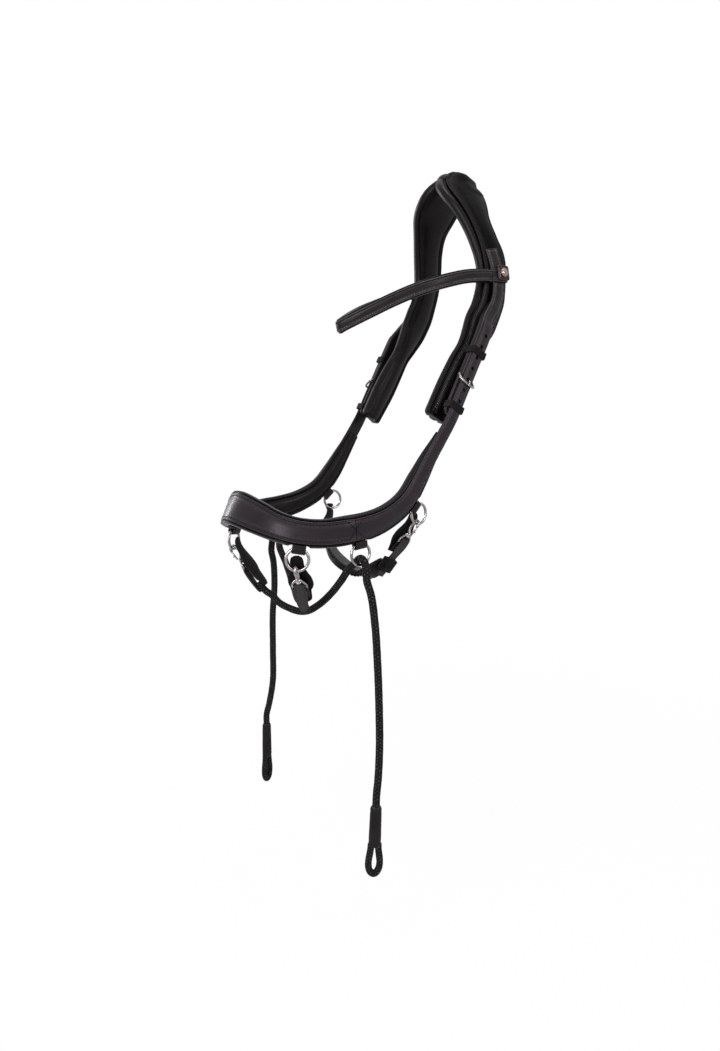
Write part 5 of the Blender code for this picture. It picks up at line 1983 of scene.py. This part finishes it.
@dataclass
class Studio:
    """Camera, lamps, floor and backdrop."""

    azimuth: float = 54.4
    elevation: float = 8.8
    lens: float = 23.292
    sensor: float = 36.0
    floor: float = -900.0
    floor_half: float = 6000.0
    white: float = 0.93
    ambient: float = 0.30
    EYE: ClassVar[Vector] = Vector((661.0, -620.56, -287.04))
    AIM: ClassVar[Vector] = Vector((30, -140, -300))
    LAMPS: ClassVar[list[tuple[str, Mark, tuple[float, float], float]]] = [
        ("key", (800, -1850, 150), (350, 1100), 22.0), ("edge", (-1800, -800, 100), (350, 1300), 20.0),
        ("side", (2000, 200, 500), (350, 1000), 16.0), ("top", (200, -200, 1500), (500, 500), 10.0),
    ]

    def build(self) -> None:
        """Make all of it."""
        self._camera()
        self._world()
        self._floor()
        for lamp in self.LAMPS:
            self._lamp(*lamp)

    def _camera(self) -> None:
        """The camera at the photograph's place."""
        data = bpy.data.cameras.new("camera")
        data.sensor_width = self.sensor
        data.lens = self.lens
        data.clip_start = 0.01
        camera = bpy.data.objects.new("camera", data)
        a, e = math.radians(self.azimuth), math.radians(self.elevation)
        back = Vector((math.sin(a) * math.cos(e), -math.cos(a) * math.cos(e), math.sin(e)))
        right = Vector((math.cos(a), math.sin(a), 0.0))
        turn = Matrix((right, back.cross(right), back)).transposed().to_4x4()
        camera.matrix_world = Matrix.Translation(self.EYE * MM) @ turn
        bpy.context.scene.collection.objects.link(camera)
        bpy.context.scene.camera = camera
        bpy.context.scene.view_settings.view_transform = "Standard"

    def _world(self) -> None:
        """White to the camera, and a soft grey light on the object."""
        world = bpy.data.worlds.new("studio")
        bpy.context.scene.world = world
        world.use_nodes = True
        tree = world.node_tree
        light, seen = tree.nodes["Background"], tree.nodes.new("ShaderNodeBackground")
        for node, strength in ((light, self.ambient), (seen, 1.0)):
            node.inputs[0].default_value = (1.0, 1.0, 1.0, 1.0)
            node.inputs[1].default_value = strength
        show_to_camera(tree, light.outputs[0], seen.outputs[0], camera_sees(tree), "World Output")

    def _floor(self) -> None:
        """A pale floor that keeps the object's shadow."""
        size = self.floor_half
        corners = ((-size, -size), (size, -size), (size, size), (-size, size))
        verts = [Vector((x, y, self.floor)) for x, y in corners]
        floor = mesh_object("floor", verts, [(0, 1, 2, 3)])
        graph = Graph("pale floor")
        graph.finish(Base_Color=(self.white, self.white, self.white), Roughness=0.9)
        tree = graph.tree
        glow = tree.nodes.new("ShaderNodeEmission")
        near = graph.add("ShaderNodeVectorMath", {"operation": "LENGTH"}, {0: graph.place()}, "Value")
        share = Shade(graph, camera_sees(tree)) * (graph.ramp(near, 0.3, 1.4) * 0.12 + 0.88)
        show_to_camera(tree, graph.shader.outputs[0], glow.outputs[0], share.socket, "Material Output")
        floor.data.materials.append(graph.material)

    def _lamp(self, name: str, place: Mark, size: tuple[float, float], power: float) -> None:
        """A soft box that faces the bridle.

        Args:
            name: its name.
            place: where it stands.
            size: its width and height.
            power: its power, in watts.
        """
        data = bpy.data.lights.new(name, "AREA")
        data.shape = "RECTANGLE"
        data.size = size[0] * MM
        data.size_y = size[1] * MM
        data.energy = power
        lamp = bpy.data.objects.new(name, data)
        spot = Vector(place)
        turn = (spot - self.AIM).to_track_quat("Z", "Y").to_matrix().to_4x4()
        lamp.matrix_world = Matrix.Translation(spot * MM) @ turn
        bpy.context.scene.collection.objects.link(lamp)


def main() -> None:
    """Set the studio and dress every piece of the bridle."""
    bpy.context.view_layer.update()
    Studio().build()
    cheeks = Cheeks()
    places = {"front": (77.0, -275, -398.5), "middle": (99.0, -217, -397.5), "back": (93.0, -146, -371.5)}
    tabs = {name: RingTab(cheeks, name, cheeks.nose.nearest(place)) for name, place in places.items()}
    front = front_hang(tabs["front"])
    wire_at = tabs["middle"].center + tabs["middle"].down * tabs["middle"].radius
    jaw = JawStrap(tabs["back"])
    for side in Side:
        Rope(front, wire_at, side).build()
    Crown().build()
    Browband().build()
    Noseband(cheeks, [tab.length for tab in tabs.values()]).build()
    for side in Side:
        HangingStrap(cheeks, side).build()
        Buckle(cheeks, side).build()
        Keeper(cheeks, side, "upper", 206.7).build()
        Keeper(cheeks, side, "lower", 277.0).build()
        Cheekpiece(cheeks, side).build()
        BrowLoop(cheeks, side).build()
        for tab in tabs.values():
            tab.build(side)
        name = side.of("front")
        Snap(front, side, name, "snap_" + name, FRONT_TAB, FRONT_SAFE).build()
    Snap(jaw.hang, Side.LEFT, "back_left", "jaw", BACK_TAB, BACK_SAFE).build()
    jaw.build()


if __name__ == "__main__":
    logging.basicConfig(level=logging.INFO)
    main()
